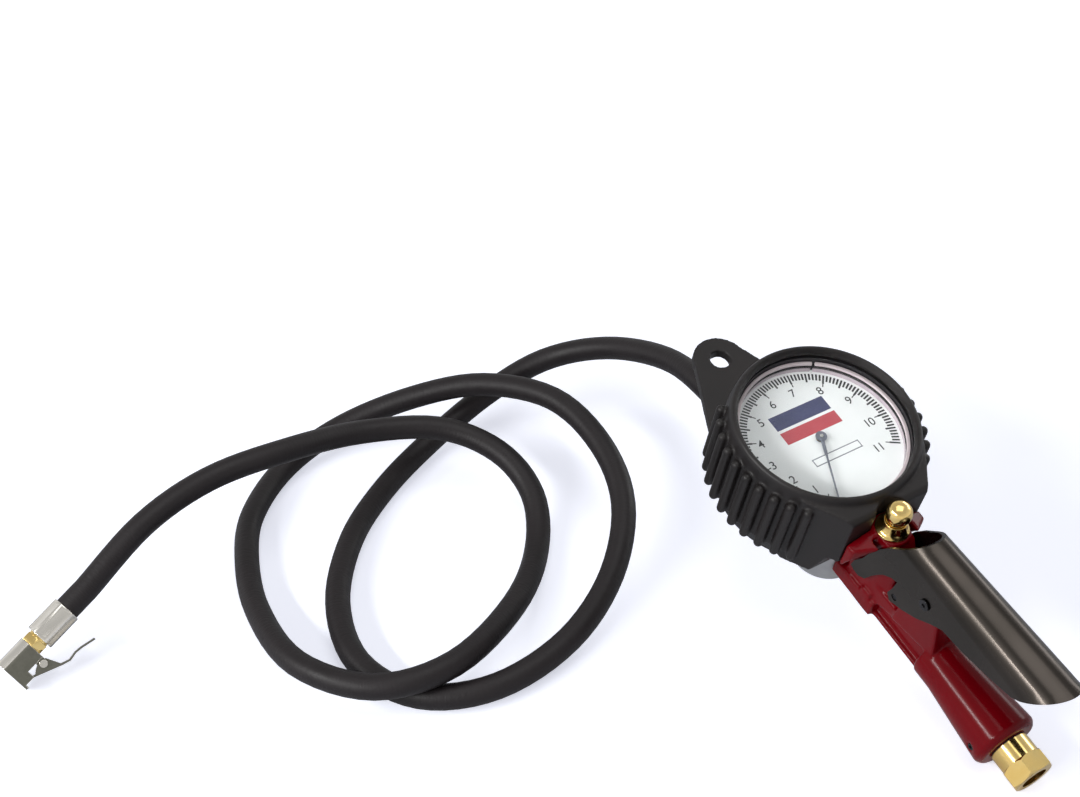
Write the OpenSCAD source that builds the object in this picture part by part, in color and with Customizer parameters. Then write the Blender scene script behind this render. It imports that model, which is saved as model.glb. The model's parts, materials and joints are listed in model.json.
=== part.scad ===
// Tyre inflator with a dial gauge: squeeze handle, booted gauge, hose and clip-on chuck.
// Millimetres. Every piece but the hose and the chuck is drawn in the tool frame: origin at the
// centre of the dial face, +X to the right of the dial, +Y toward the hanging eye, +Z out of the
// dial. place_tool() leans the tool as it rests, on the end of its barrel and on its hose.

/* [Gauge] */
// Outside diameter of the gauge case
gauge_d = 80; // [77:0.5:81]
// Wall of the gauge case
case_wall = 1; // [0.8:0.1:1.3]
// Depth of the case behind the dial face
case_depth = 36; // [35:0.5:37]
// Height of the case wall in front of the dial face
case_lip = 9; // [8.5:0.1:9.5]
// Thickness of the dial plate
dial_t = 1; // [0.6:0.1:1.4]
// Height of the white ring that stands on the dial
dial_ring_h = 2.6; // [2.4:0.1:3]
// Radial width of the dial ring and of the snap ring
ring_w = 1.5; // [1.1:0.1:1.9]
// Thickness of the gasket under the lens
gasket_t = 0.8; // [0.6:0.1:1]
// Thickness of the lens
lens_t = 2; // [1.6:0.1:2.2]
// Height of the snap ring in front of the lens
snap_h = 1.4; // [1.2:0.1:1.6]
// Length of the pointer from its hub
pointer_l = 33; // [28:1:35]
// Full sweep of the pointer in degrees
pointer_sweep = 277; // [240:1:280]

/* [Movement] */
// Mean radius of the curved pressure tube
tube_mean_r = 28; // [27:0.5:30]
// Gear module of the sector and its pinion
gear_m = 0.4; // [0.4:0.01:0.42]
// Teeth of the pinion
pinion_teeth = 10; // [10:1:11]
// Teeth that the sector's full circle would have
sector_teeth = 100; // [96:1:104]
// Thickness of the sector
sector_t = 2; // [1.4:0.1:2.2]
// Thickness of each movement plate
plate_t = 1; // [0.8:0.1:1.2]
// Radius of the arbors that turn in the plates
arbor_r = 0.8; // [0.7:0.05:0.9]

/* [Boot] */
// Wall of the rubber boot
boot_wall = 3.75; // [3:0.25:4.5]
// Radius of one grip rib
rib_r = 2.3; // [1.8:0.1:2.6]
// Angle between two grip ribs
rib_pitch = 9.6; // [9:0.1:10.4]
// Grip ribs on each side
ribs_side = 10; // [6:1:10]
// Distance from the dial centre to the hanging eye
eye_y = 70.4; // [66:0.5:76]
// Diameter of the hanging eye
eye_d = 9.8; // [7:0.1:12]
// Width of the hanging tab round the eye
tab_d = 26; // [20:0.5:28]
// Thickness of the hanging tab
tab_t = 5.2; // [4:0.2:7]

/* [Handle] */
// Distance from the dial centre to the face of the handle's head
head_y = 47.9; // [47.5:0.1:48.5]
// Depth of the barrel axis under the dial face
axis_drop = 35; // [34.5:0.5:36]
// Barrel diameter beside the neck
barrel_d1 = 23; // [22:0.5:25]
// Barrel diameter at its inlet end
barrel_d2 = 30; // [29:0.5:32]
// Distance from the dial centre to the barrel's inlet end
barrel_end = 146.5; // [143:0.5:150]
// Width of the handle's core
core_w = 14.4; // [13.6:0.2:14.6]
// Width of the neck under the pivot
neck_w = 16; // [15:0.5:17]
// Width of the rail behind the handle
rail_w = 13.2; // [11:0.2:15]
// Radius of the valve chamber
chamber_r = 4; // [3.8:0.1:4.2]

/* [Lever] */
// Sheet thickness of the lever
lever_wall = 1.5; // [1.2:0.1:1.6]
// Radius of the lever's back beside the gauge
lever_r1 = 10.2; // [10.1:0.1:11]
// Radius of the lever's back at its free end
lever_r2 = 12.4; // [12:0.1:13.2]
// Squeeze of the lever in degrees
lever_travel = 10; // [6:1:10]
// Radius of the lever's pivot screw
pivot_r = 1.8; // [1.5:0.1:2]
// Radius of the cross pin that works the valve
push_r = 1.6; // [1.4:0.1:1.8]

/* [Deflate button] */
// Radius of the bush's flange
bush_flange_r = 7.6; // [7:0.1:8.2]
// Height of the bush above the head
bush_h = 6.2; // [5.5:0.1:6.4]
// Travel of the button
bleed_travel = 2; // [1.5:0.1:2]
// Radius of the button's stem
button_stem_r = 2; // [1.6:0.1:2.2]

/* [Inlet] */
// Width across flats of the inlet hexagon
inlet_af = 18; // [17:0.5:20]
// Length of the inlet hexagon
inlet_hex_l = 8.4; // [8:0.2:11]
// Length of the round collar behind the hexagon
inlet_collar_l = 8.6; // [7:0.2:10]
// Radius of the inlet's threaded bore
inlet_bore_r = 5.9; // [5.5:0.1:6.6]

/* [Hose and chuck] */
// Outside diameter of the hose
hose_d = 12; // [11:0.5:12.5]
// Length of the ferrule at the gauge end
ferrule_l = 25.4; // [22:0.2:28]
// Width across flats of the hose nipple's hexagon
hose_af = 14; // [13:0.5:15]
// Length of the chuck's hexagon ferrule
chuck_ferrule_l = 17.4; // [16:0.2:20]
// Width across flats of the chuck's hexagon ferrule
chuck_ferrule_af = 12.4; // [12.2:0.1:13]
// Outside diameter of the chuck
chuck_d = 11.6; // [11.4:0.1:12.4]
// Radius of the chuck's mouth
mouth_r = 4.4; // [4.2:0.1:4.6]
// Squeeze of the chuck's clip in degrees
clip_travel = 18; // [10:1:20]

/* [Hidden] */

$fn = 96;
hex_k = 1 / cos(30);            // corner radius of a hexagon per half width across flats
fit_gap = 0.04;                 // radial gap of pieces that are screwed or pressed together
run_gap = 0.06;                 // radial gap of a shaft that turns or slides in its bore
soft_gap = 0.25;                // gap round soft and loose pieces
safe_gap = 0.35;                // least gap beside a piece that moves
over = 1;                       // how far a cutting shape runs past the face it cuts

// Levels and radii of the gauge
gauge_r = gauge_d / 2;
case_in_r = gauge_r - case_wall;
stack_r = case_in_r - 0.2;      // dial, ring, gasket, lens and snap ring inside the case
back_z = -case_depth;
floor_z = back_z + case_wall;
gasket_z = dial_ring_h;
lens_z = gasket_z + gasket_t;
snap_z = lens_z + lens_t;
ring_gap_a = 60;                // where the dial ring and the snap ring are split
ring_gap_w = 1.3;
dial_hole_r = 2;
pointer_z = 1.5;
pointer_t = 0.6;
hub_r = 2.6;
pointer_a = 246.5;              // pointer at rest, just past the first mark
port_y = 24.8;                  // gauge thread, behind the lower half of the dial

// Levels of the movement, from the back plate to the front plate
socket_l = 16;
socket_w = 13;
socket_h = 19;
rear_z = floor_z + socket_h;
front_z = rear_z + 10;
pitch_s = gear_m * sector_teeth / 2;
pitch_p = gear_m * pinion_teeth / 2;
tooth_h = 0.3;                  // height of a tooth above the pitch circle
tooth_d = 0.45;                 // depth below it
tooth_w = 0.24;                 // half width on the pitch circle
tooth_in = 0.09;                // narrowing of half the tooth from its foot to its top
mesh_a = 300;                   // direction from the spindle to the sector's arbor
sector_x = (pitch_s + pitch_p) * cos(mesh_a);
sector_y = (pitch_s + pitch_p) * sin(mesh_a);
sector_swing = pointer_sweep * pinion_teeth / sector_teeth;
sector_z = rear_z + plate_t + 3;
teeth_back = 10;                // teeth on the trailing side of the mesh point
teeth_ahead = 2;
pinion_z = sector_z - 1;
pinion_h = 4.1;
tail_a = -20;
tail_l = 9;
tail_x = sector_x + tail_l * cos(tail_a);
tail_y = sector_y + tail_l * sin(tail_a);
link_t = 0.8;
link_w = 2;
link_z = sector_z + sector_t + 0.3;
arbor_hub_r = 1.6;
post_r = 1.8;
posts = [[-6, -28.5], [3, -29], [-6, 6], [6, 6]];
screw_spots = [[-5, -22.3], [3.6, -21.6]];
coil_z = link_z + 1.8;
coil_turns = 3;
coil_r1 = 1.65;
coil_r2 = 5.4;
stud_r = 0.7;

// Pressure tube
tube_w = 3;
tube_h = 10;
tube_wall = 0.6;
tube_z = floor_z + 5;
tube_a1 = 20;                   // the tip's end
tube_a2 = 275;                  // the end inside the socket
tip_len_a = 5.5;
tip_r = tube_mean_r;
tip_a = tube_a1 - tip_len_a / 2;
tip_x = tip_r * cos(tip_a);
tip_y = tip_r * sin(tip_a);

// Block behind the gauge
seal_t = 1;
block_top = back_z - seal_t;
block_h = 17;
block_r = 16.5;
block_z = block_top - block_h;
stub_r = 6.5;
stub_l = 4;
stub_z = back_z - stub_l;
plenum_z = block_top - 11;
spigot_r = 3.1;
spigot_z = block_top - 4.7;
spigot_end = 50;
supply_x = 1.2;                 // supply way beside the outlet way
web_w = 8;                      // width of the web between the rail and the neck
port_z = block_top - 10;
port_r = 4.9;
port_l = 5.7;
block_face = port_y - block_r;  // where the hose port leaves the block, below the centre
nipple_hex_l = 5.3;
ferrule_y = -block_face + nipple_hex_l;
ferrule_end = ferrule_y + ferrule_l;
ferrule_r = 7.5;
tail_r = 4.1;
air_r = 1.9;

// Rubber boot
boot_in_r = gauge_r + soft_gap;
boot_r = boot_in_r + boot_wall;
boot_bottom = -27;
lip_z = case_lip + 1.7;
rim_z = lip_z + 4;
block_end = head_y - 0.2;       // boot block's end beside the handle's head
tongue_in = core_w / 2 + 0.2;   // slots in the head that the lever's hooks swing in
tongue_out = lever_r1 + 0.4;
slot_top = -3.5;
slot_bridge = 4.4;              // head left standing over each slot

// Handle levels and stations along -Y
axis_z = -axis_drop;
barrel_start = 97;
taper_start = 108;
taper_end = 144;
rail_z = block_top - 8.4;
rail_top = block_top - 1;
arm_top = block_top + 0.2;
arm_w = 18;
knob_y = head_y + 4.1;
boss_r = 8.8;
pivot_y = 88.4;
pivot_z = -0.7;
ear_r = 5;
valve_z = -16;
plug_y = head_y + 0.1;
plug_l = 5.5;
seat_y = head_y + 14.5;
washer_t = 0.8;
disc_t = 1.5;
land_l = 1.2;
groove_l = 1.9;
gland_l = 2.5;
gland_y = seat_y + land_l + groove_l;
core_end = gland_y + gland_l;
stem_r = 1.5;
push_y = 74;
push_z = -16.5;
head_gap = 0.15;
head_t = 1.15;
stem_end = push_y - push_r - head_gap;
disc_r = chamber_r - 0.8;
pivot_arm = pivot_z - push_z;
valve_ratio = pivot_arm;        // millimetres of valve travel per radian of lever
bush_r = 5.5;
bush_depth = 9;
seal_seat = -3;
pocket_z = -bush_depth - 1.5;
cavity_r = 4.2;
seal_ring_t = 0.8;
button_disc_r = 3.6;
button_disc_t = 1;
button_top = 16.8;
skirt_r = 4.5;                  // the button's skirt slides in the bush's mouth
skirt_z = 4.9;
inlet_thread_r = 6.5;
inlet_thread_l = 12;
inlet_seal_t = 0.6;
inlet_lip = 0.2;                // how much smaller the inlet's collar is than its hexagon
inlet_end = barrel_end + inlet_collar_l + inlet_hex_l;
filter_t = 1.5;
filter_r = 4.5;
inlet_bore_l = 12.5;
screw_y = barrel_end - 7.1;
screw_z = axis_z - 1.6;
screw_r = 1.5;

// Lever: a cone-shaped back with two side plates that follow its sides
lever_y1 = 66;
lever_y2 = 144;
lever_z1 = 9.8;
lever_z2 = 11.1;
lever_len = lever_y2 - lever_y1;
splay = atan((lever_r2 - lever_r1) / lever_len);
lever_tilt = atan((lever_z2 - lever_z1) / lever_len);
lever_tip = 157;
crest_slope = (lever_z2 + lever_r2 - lever_z1 - lever_r1) / lever_len;
crest_tip_z = lever_z1 + lever_r1 + crest_slope * (lever_tip - lever_y1);
function lever_r(y) = lever_r1 + (y - lever_y1) * tan(splay);
mask_top = crest_tip_z + 2;
cut_slope = 0.81;               // the slanted upper end of the back
end_slope = 0.79;               // the slanted free end
pivot_head_r = 2.7;
pivot_head_t = 0.8;
pivot_seat = lever_r(pivot_y) + pivot_head_r * tan(splay) + 0.12;
clip_t = 1;
push_half = lever_r(push_y) - 0.4;

// How the tool rests, leaned back with the hanging eye raised
lean = 17;
rest_low = max(inlet_end * sin(lean) + (axis_drop + inlet_af / 2) * cos(lean),
               taper_end * sin(lean) + (axis_drop + barrel_d2 / 2) * cos(lean));
rest_back = lever_tip * cos(lean) + crest_tip_z * sin(lean);
rest_front = (eye_y + tab_d / 2) * cos(lean) - boot_bottom * sin(lean);
rest_shift = (rest_back - rest_front) / 2;
function on_table(p) = [p[0],
                        p[1] * cos(lean) - p[2] * sin(lean) + rest_shift,
                        p[1] * sin(lean) + p[2] * cos(lean) + rest_low];
module place_tool() translate([0, rest_shift, rest_low]) rotate([lean, 0, 0]) children();

// Hose route on the table, from the gauge ferrule to the chuck, chosen by hand
hose_r = hose_d / 2;
chuck_at = [-306, 192.2, 25.6];
chuck_turn = [-44, 21, -166];
chuck_dir = [cos(chuck_turn[2]) * cos(chuck_turn[1]), sin(chuck_turn[2]) * cos(chuck_turn[1]),
             -sin(chuck_turn[1])];
hose_sides = 12;
hose_steps = 2;
hose_points = [
    [1, 118, 64], [3, 157, 59], [-8, 196, 47], [-32, 221, 34], [-66, 227, 21], [-104, 221, 10],
    [-138, 205, 7], [-169, 180, 7], [-194, 144, 7], [-203, 104, 7], [-189, 72, 6], [-158, 56, 8],
    [-118, 60, 11], [-81, 81, 15], [-55, 110, 25], [-45, 145, 34], [-49, 183, 40], [-71, 216, 38],
    [-101, 238, 29], [-137, 253, 16], [-172, 249, 8], [-201, 226, 7], [-217, 198, 7],
    [-228, 160, 8], [-229, 112, 15], [-207, 78, 17], [-171, 70, 18], [-128, 92, 12],
    [-97, 123, 7], [-82, 151, 15], [-85, 179, 25], [-105, 203, 33], [-143, 216, 39],
    [-186, 211, 50], [-224, 212, 50], [-260, 205, 45]
];
hose_route = concat([on_table([0, ferrule_end, port_z]),
                     on_table([0, ferrule_end + hose_d, port_z])],
                    hose_points,
                    [chuck_at - hose_d * chuck_dir, chuck_at]);

// Chuck stations along its own axis, from the ferrule to the mouth
nipple_l = 5.2;
nipple_neck_l = 0.9;
nipple_af = 10.4;
chuck_x = chuck_ferrule_l + nipple_l;
chuck_l = 15.3;
chuck_end = chuck_x + chuck_l;
chuck_r = chuck_d / 2;
chuck_thread_l = 4.6;
chuck_thread_r = 3.6;
mouth_l = 7;
chuck_seal_t = 2.2;
chuck_seal_r = 4.96;
seal_x = chuck_end - mouth_l - chuck_seal_t;
rivet_x = chuck_x + 2;
rivet_y = 9.5;
rivet_r = 1.5;
ear_half = 4.3;
slot_half = 3.3;                // half width of the slot that the clip's foot works in
foot_half = 2.9;
cheek_in = ear_half + safe_gap;
cheek_t = 0.8;
cheek_out = cheek_in + cheek_t;
arm_half = 4.6;

// Points of a smooth curve through a list of points
function spline(p0, p1, p2, p3, t) =
    0.5 * (2 * p1 + (p2 - p0) * t + (2 * p0 - 5 * p1 + 4 * p2 - p3) * t * t
           + (3 * p1 - p0 - 3 * p2 + p3) * t * t * t);
function at(p, i) = i < 0 ? 2 * p[0] - p[1]
                  : i >= len(p) ? 2 * p[len(p) - 1] - p[len(p) - 2] : p[i];
function lifted(p, low) = [p[0], p[1], max(p[2], low)];
function smooth(p, n, low) = concat(
    [for (i = [0 : len(p) - 2], k = [0 : n - 1])
        lifted(spline(at(p, i - 1), p[i], p[i + 1], at(p, i + 2), k / n), low)],
    [p[len(p) - 1]]);

// The same points with the first and last stretch left straight
function straight_ends(p, n) = concat([p[0]], [for (i = [n : len(p) - 1 - n]) p[i]],
                                      [p[len(p) - 1]]);

// Tube swept along points: rings square to the path, turned round the up direction
function unit(v) = v / norm(v);
function ring(p, i, up, r, n) =
    let (t = unit(at(p, i + 1) - at(p, i - 1)), s = unit(cross(t, up)), u = cross(s, t))
    [for (k = [0 : n - 1]) p[i] + r * (cos(360 * k / n) * s + sin(360 * k / n) * u)];
module swept(p, r, n, up) {
    m = len(p);
    points = [for (i = [0 : m - 1]) each ring(p, i, up, r, n)];
    walls = [for (i = [0 : m - 2], k = [0 : n - 1])
        each [[i * n + k, i * n + (k + 1) % n, (i + 1) * n + k],
              [i * n + (k + 1) % n, (i + 1) * n + (k + 1) % n, (i + 1) * n + k]]];
    head_cap = [for (k = [1 : n - 2]) [0, k + 1, k]];
    tail_cap = [for (k = [1 : n - 2]) [(m - 1) * n, (m - 1) * n + k, (m - 1) * n + k + 1]];
    polyhedron(points = points, faces = concat(head_cap, walls, tail_cap), convexity = 10);
}

// Coil spring of given wire along +Z, with a gap between its turns
spring_sides = 6;
spring_steps = 12;
module coil(l, r, wire, turns) {
    n = turns * spring_steps;
    rise = (l - 2 * wire) / n;
    swept([for (i = [0 : n]) [r * cos(i * 360 / spring_steps), r * sin(i * 360 / spring_steps),
                              wire + i * rise]], wire, spring_sides, [0, 0, 1]);
}

// Directions: along +Y, along -Y and along +X from a point; side and cross profiles
module along_y(p) translate(p) rotate([-90, 0, 0]) children();
module along_back(p) translate(p) rotate([90, 0, 0]) children();
module along_x(p) translate(p) rotate([0, 90, 0]) children();
module side_profile(w) rotate([90, 0, 90]) translate([0, 0, -w / 2]) linear_extrude(w) children();
module cross_profile(y, l) translate([0, y, 0]) rotate([90, 0, 0]) linear_extrude(l) children();
module tube(h, r_out, r_in) difference() {
    cylinder(h = h, r = r_out);
    translate([0, 0, -over]) cylinder(h = h + 2 * over, r = r_in);
}
module hexagon(h, af) cylinder(h = h, r = af / 2 * hex_k, $fn = 6);

// ---- Handle ----

// Tapered barrel with a chamfered inlet end
module barrel() along_back([0, 0, axis_z]) rotate_extrude() polygon([
    [0, barrel_start], [barrel_d1 / 2 - 1, barrel_start], [barrel_d1 / 2, barrel_start + 1],
    [barrel_d1 / 2, taper_start], [barrel_d2 / 2, taper_end],
    [barrel_d2 / 2 - 2, barrel_end], [0, barrel_end]]);

// Neck under the pivot, with a rounded ear for the pivot screw
module neck() {
    side_profile(neck_w) polygon([
        [-76, -33], [-76, -22], [-81, -8], [-pivot_y + ear_r - 0.2, pivot_z - 1.8],
        [-pivot_y - ear_r + 0.4, pivot_z - 1.8], [-barrel_start, -9],
        [-barrel_start - 4, axis_z + 11], [-barrel_start - 4, -27.5]]);
    along_x([-ear_half_w(), -pivot_y, pivot_z]) cylinder(h = 2 * ear_half_w(), r = ear_r);
}
function ear_half_w() = lever_r(pivot_y - ear_r) - lever_wall - safe_gap;

// Core between the head and the neck, with the open window that the push pin works in
module core() intersection() {
    side_profile(core_w) polygon([
        [-44, rail_top - 4], [-44, -19.5], [-head_y, -19.5], [-head_y, -1], [-60, -1],
        [-core_end + 2, -8], [-core_end, -8], [-core_end, -22], [-81, -22], [-81, -32],
        [-66, -36.5], [-62.6, rail_z]]);
    union() {
        translate([0, 0, -60]) linear_extrude(60) polygon([
            [-core_w, -40], [-core_w, -head_y - 12], [-core_w / 2, -head_y - 13.1],
            [-5.2, -core_end], [-5.2, -90], [5.2, -90], [5.2, -core_end],
            [core_w / 2, -head_y - 13.1], [core_w, -head_y - 12], [core_w, -40]]);
        translate([-core_w, -90, -60]) cube([2 * core_w, 60, 33]);
    }
}

// Rail behind the handle, its thin web and the arm that carries the block
module rail() {
    side_profile(rail_w) polygon([[-60, rail_z], [-60, rail_z + 2.2], [-99, rail_z + 2.2],
                                  [-99, rail_z]]);
    side_profile(web_w) polygon([[-60, rail_z], [-60, -34], [-99, -26], [-99, rail_z]]);
    translate([-arm_w / 2, -66, rail_z]) cube([arm_w, 66 - port_y, arm_top - rail_z]);
    translate([-9.2, -62.6, rail_z]) cube([18.4, 6, rail_top + 7.6 - rail_z]);
}

// Head with its two ears beside the rubber boot, and the boss of the button
module head() {
    intersection() {
        cross_profile(-head_y, 14.1) polygon([
            [-10.5, -1], [10.5, -1], [20, -5], [20, -19], [10.7, -19], [7.2, -38],
            [-7.2, -38], [-10.7, -19], [-20, -19], [-20, -5]]);
        translate([0, 0, -40]) linear_extrude(50) polygon([
            [-20.5, -head_y + over], [20.5, -head_y + over], [20.5, -head_y - 4.2],
            [7.4, -60], [7.4, -61], [-7.4, -61], [-7.4, -60], [-20.5, -head_y - 4.2]]);
        side_profile(50) polygon([
            [-head_y + over, 0], [-60, 0], [-56, -5], [-50.4, -16], [-49.6, -19],
            [-head_y - 1, -19], [-head_y - 1, -40], [-head_y + over, -40]]);
    }
    translate([0, -knob_y, -12]) cylinder(h = 12, r = boss_r);
}

// Cuts of the casting: air ways, valve chamber, button well, pivot and thread holes
module casting_cuts() {
    translate([0, -port_y, rail_z - over]) cylinder(h = 12, r = block_r + fit_gap);
    for (s = [0, 1]) mirror([s, 0, 0]) {
        translate([tongue_in, -66, slot_top - 30]) cube([tongue_out - tongue_in, 25, 30]);
        translate([tongue_in, -66, slot_top - over])
            cube([tongue_out - tongue_in, 66 - head_y - slot_bridge, 10]);
    }
    // barrel bore and inlet thread
    along_back([0, -104, axis_z]) cylinder(h = barrel_end - 104 + over, r = 5.5);
    along_back([0, -barrel_end + inlet_thread_l + over, axis_z])
        cylinder(h = inlet_thread_l + 2 * over, r = inlet_thread_r + fit_gap);
    along_x([-barrel_d2 / 2 - over, -screw_y, screw_z])
        cylinder(h = barrel_d2 / 2 - inlet_thread_r + over, r = screw_r + fit_gap);
    // supply way from the barrel up into the valve chamber
    along_back([supply_x, -58, -29.8]) cylinder(h = 48, r = 1.3);
    translate([supply_x, -58, -30.5]) cylinder(h = 15, r = 1.2);
    // chamber, seat land, groove and gland seat
    along_back([0, -head_y + over, valve_z]) cylinder(h = seat_y - head_y + over, r = chamber_r);
    along_back([0, -seat_y + over, valve_z]) cylinder(h = land_l + 2 * over, r = 2.2);
    along_back([0, -seat_y - land_l, valve_z]) cylinder(h = groove_l, r = 3.2);
    along_back([0, -gland_y, valve_z]) cylinder(h = gland_l + over, r = 3.6 + fit_gap);
    // outlet way down to the rail and along to the block
    translate([-2.2, -gland_y + groove_l / 2, spigot_z]) cylinder(h = valve_z - spigot_z, r = 1.2);
    along_back([0, -spigot_end + over, spigot_z]) cylinder(h = 17.5, r = 1.6);
    along_back([0, -port_y, spigot_z]) cylinder(h = spigot_end - port_y, r = spigot_r + fit_gap);
    // button well with its own way to the outlet
    translate([0, -knob_y, -bush_depth]) cylinder(h = bush_depth + over, r = bush_r + fit_gap);
    translate([0, -knob_y, pocket_z]) cylinder(h = 1.5 + over, r = 5);
    translate([-5.4, -knob_y, spigot_z]) cylinder(h = pocket_z - spigot_z + 0.7, r = 0.9);
    along_x([-5.4, -knob_y, spigot_z]) cylinder(h = 5.4, r = 0.9);
    // pivot hole
    along_x([-12, -pivot_y, pivot_z]) cylinder(h = 24, r = pivot_r + fit_gap);
}

module body_casting() color("#a01220") place_tool() difference() {
    union() {
        barrel();
        neck();
        core();
        rail();
        head();
    }
    casting_cuts();
}

// ---- Air inlet ----

module inlet_connector() color("#c9a24a") place_tool() difference() {
    union() {
        along_back([0, -barrel_end + inlet_thread_l, axis_z])
            cylinder(h = inlet_thread_l + inlet_seal_t, r = inlet_thread_r);
        along_back([0, -barrel_end - inlet_seal_t, axis_z])
            cylinder(h = inlet_collar_l - inlet_seal_t + over, r = inlet_af / 2 - inlet_lip);
        intersection() {
            along_back([0, -barrel_end - inlet_collar_l, axis_z]) hexagon(inlet_hex_l, inlet_af);
            along_back([0, -barrel_end - inlet_collar_l, axis_z]) rotate_extrude() polygon([
                [0, 0], [inlet_af / 2, 0], [inlet_af / 2 * hex_k, 1.2],
                [inlet_af / 2 * hex_k, inlet_hex_l - 1], [inlet_af / 2 - 0.3, inlet_hex_l],
                [0, inlet_hex_l]]);
        }
    }
    along_back([0, -barrel_end + inlet_thread_l + over, axis_z])
        cylinder(h = inlet_end, r = 3.2);
    along_back([0, -inlet_end + inlet_bore_l + filter_t, axis_z])
        cylinder(h = inlet_bore_l, r = filter_r + fit_gap);
    along_back([0, -inlet_end + inlet_bore_l, axis_z])
        cylinder(h = inlet_bore_l + over, r = inlet_bore_r);
}

module inlet_seal() color("#222222") place_tool()
    along_back([0, -barrel_end, axis_z])
        tube(inlet_seal_t, inlet_af / 2 - 0.8, inlet_thread_r + fit_gap);

module inlet_filter() color("#b9a98a") place_tool()
    along_back([0, -inlet_end + inlet_bore_l + filter_t, axis_z])
        cylinder(h = filter_t - 0.1, r = filter_r);

module retaining_screw() color("#8d9299") place_tool() difference() {
    along_x([-barrel_d2 / 2 + 0.9, -screw_y, screw_z])
        cylinder(h = barrel_d2 / 2 - inlet_thread_r - 1.1, r = screw_r);
    along_x([-barrel_d2 / 2, -screw_y, screw_z]) hexagon(2.2, 1.5);
}

// ---- Lever ----

// Outline of the lever from the side: hook, pin lobe, lower edge and the slanted ends
module lever_outline() polygon([
    [-65.3, 8.9], [-61.3, 4.1], [-57.2, -2.5], [-53.7, -10.7], [-51.2, -18.4], [-48, -24.5],
    [-47.4, -28.6], [-50, -29.4], [-53.1, -29.4], [-56.9, -26.6], [-59, -21.2], [-61.8, -16.2],
    [-64.4, -12.4], [-68.5, -8.9], [-72, -7.4], [-71.2, -13.3], [-69.9, -18.5], [-72.5, -21.2],
    [-80.6, -17.4], [-88.2, -12.5], [-94.9, -6.5], [-100.9, -2.2], [-113.2, -0.3], [-128, 3.6],
    [-140.8, 8], [-144.3, 10.7], [-lever_tip, crest_tip_z],
    [-lever_tip - 2 * end_slope, mask_top],
    [-65.3 - cut_slope * (mask_top - 8.9), mask_top]]);

// Cone-shaped half shell and its two side plates, before they are cut to outline
module lever_shell() translate([0, -lever_y1, lever_z1]) rotate([-lever_tilt, 0, 0]) {
    wall_r = lever_wall / cos(splay);
    back = 24;
    front = 102;
    difference() {
        along_back([0, back, 0]) cylinder(h = back + front, r1 = lever_r1 - back * tan(splay),
                                          r2 = lever_r1 + front * tan(splay));
        along_back([0, back + over, 0])
            cylinder(h = back + front + 2 * over,
                     r1 = lever_r1 - wall_r - (back + over) * tan(splay),
                     r2 = lever_r1 - wall_r + (front + over) * tan(splay));
        translate([-40, -front - 2 * over, -40]) cube([80, back + front + 4 * over, 40]);
    }
    for (s = [0, 1]) mirror([s, 0, 0])
        translate([0, 0, -45]) linear_extrude(45) polygon([
            [lever_r1 - back * tan(splay), back], [lever_r1 + front * tan(splay), -front],
            [lever_r1 + front * tan(splay) - wall_r, -front],
            [lever_r1 - back * tan(splay) - wall_r, back]]);
}

module lever() color("#55565c") place_tool() difference() {
    intersection() {
        lever_shell();
        side_profile(60) lever_outline();
    }
    along_x([-30, -pivot_y, pivot_z]) cylinder(h = 60, r = pivot_r + run_gap);
    along_x([-30, -push_y, push_z]) cylinder(h = 60, r = push_r + fit_gap / 2);
}

module lever_pivot() color("#9aa0a8") place_tool() difference() {
    union() {
        along_x([-pivot_seat, -pivot_y, pivot_z])
            cylinder(h = 2 * pivot_seat + clip_t + 1, r = pivot_r);
        along_x([-pivot_seat - pivot_head_t, -pivot_y, pivot_z])
            cylinder(h = pivot_head_t, r = pivot_head_r);
    }
    along_x([-pivot_seat - pivot_head_t - over, -pivot_y, pivot_z])
        hexagon(over + 0.5 + pivot_head_t, pivot_r);
}

module pivot_clip() color("#9aa0a8") place_tool()
    along_x([pivot_seat, -pivot_y, pivot_z]) tube(clip_t, pivot_r + 1.4, pivot_r + fit_gap / 2);

module push_pin() color("#9aa0a8") place_tool()
    along_x([-push_half, -push_y, push_z]) cylinder(h = 2 * push_half, r = push_r);

// ---- Inflate valve ----

module valve_stem() color("#c9a24a") place_tool() {
    along_y([0, -stem_end, valve_z]) cylinder(h = head_t, r = disc_r);
    along_y([0, -stem_end, valve_z]) cylinder(h = stem_end - seat_y + washer_t, r = stem_r);
    along_y([0, -seat_y + washer_t, valve_z]) cylinder(h = disc_t, r = disc_r);
}

module valve_washer() color("#262626") place_tool()
    along_y([0, -seat_y, valve_z]) tube(washer_t, disc_r - 0.1, stem_r + fit_gap);

module valve_gland() color("#c9a24a") place_tool()
    along_back([0, -gland_y, valve_z]) tube(gland_l, 3.6, stem_r + run_gap);

module valve_spring() color("#a7abb0") place_tool()
    along_y([0, -seat_y + washer_t + disc_t, valve_z])
        coil(seat_y - washer_t - disc_t - plug_y - plug_l, chamber_r - 1.3, 0.35, 5);

module valve_cap() color("#c9a24a") place_tool() difference() {
    along_back([0, -plug_y, valve_z]) cylinder(h = plug_l, r = chamber_r - fit_gap);
    translate([-chamber_r, -plug_y - 0.8, valve_z - 0.5]) cube([2 * chamber_r, 1.8, 1]);
}

// ---- Deflate button ----

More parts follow.
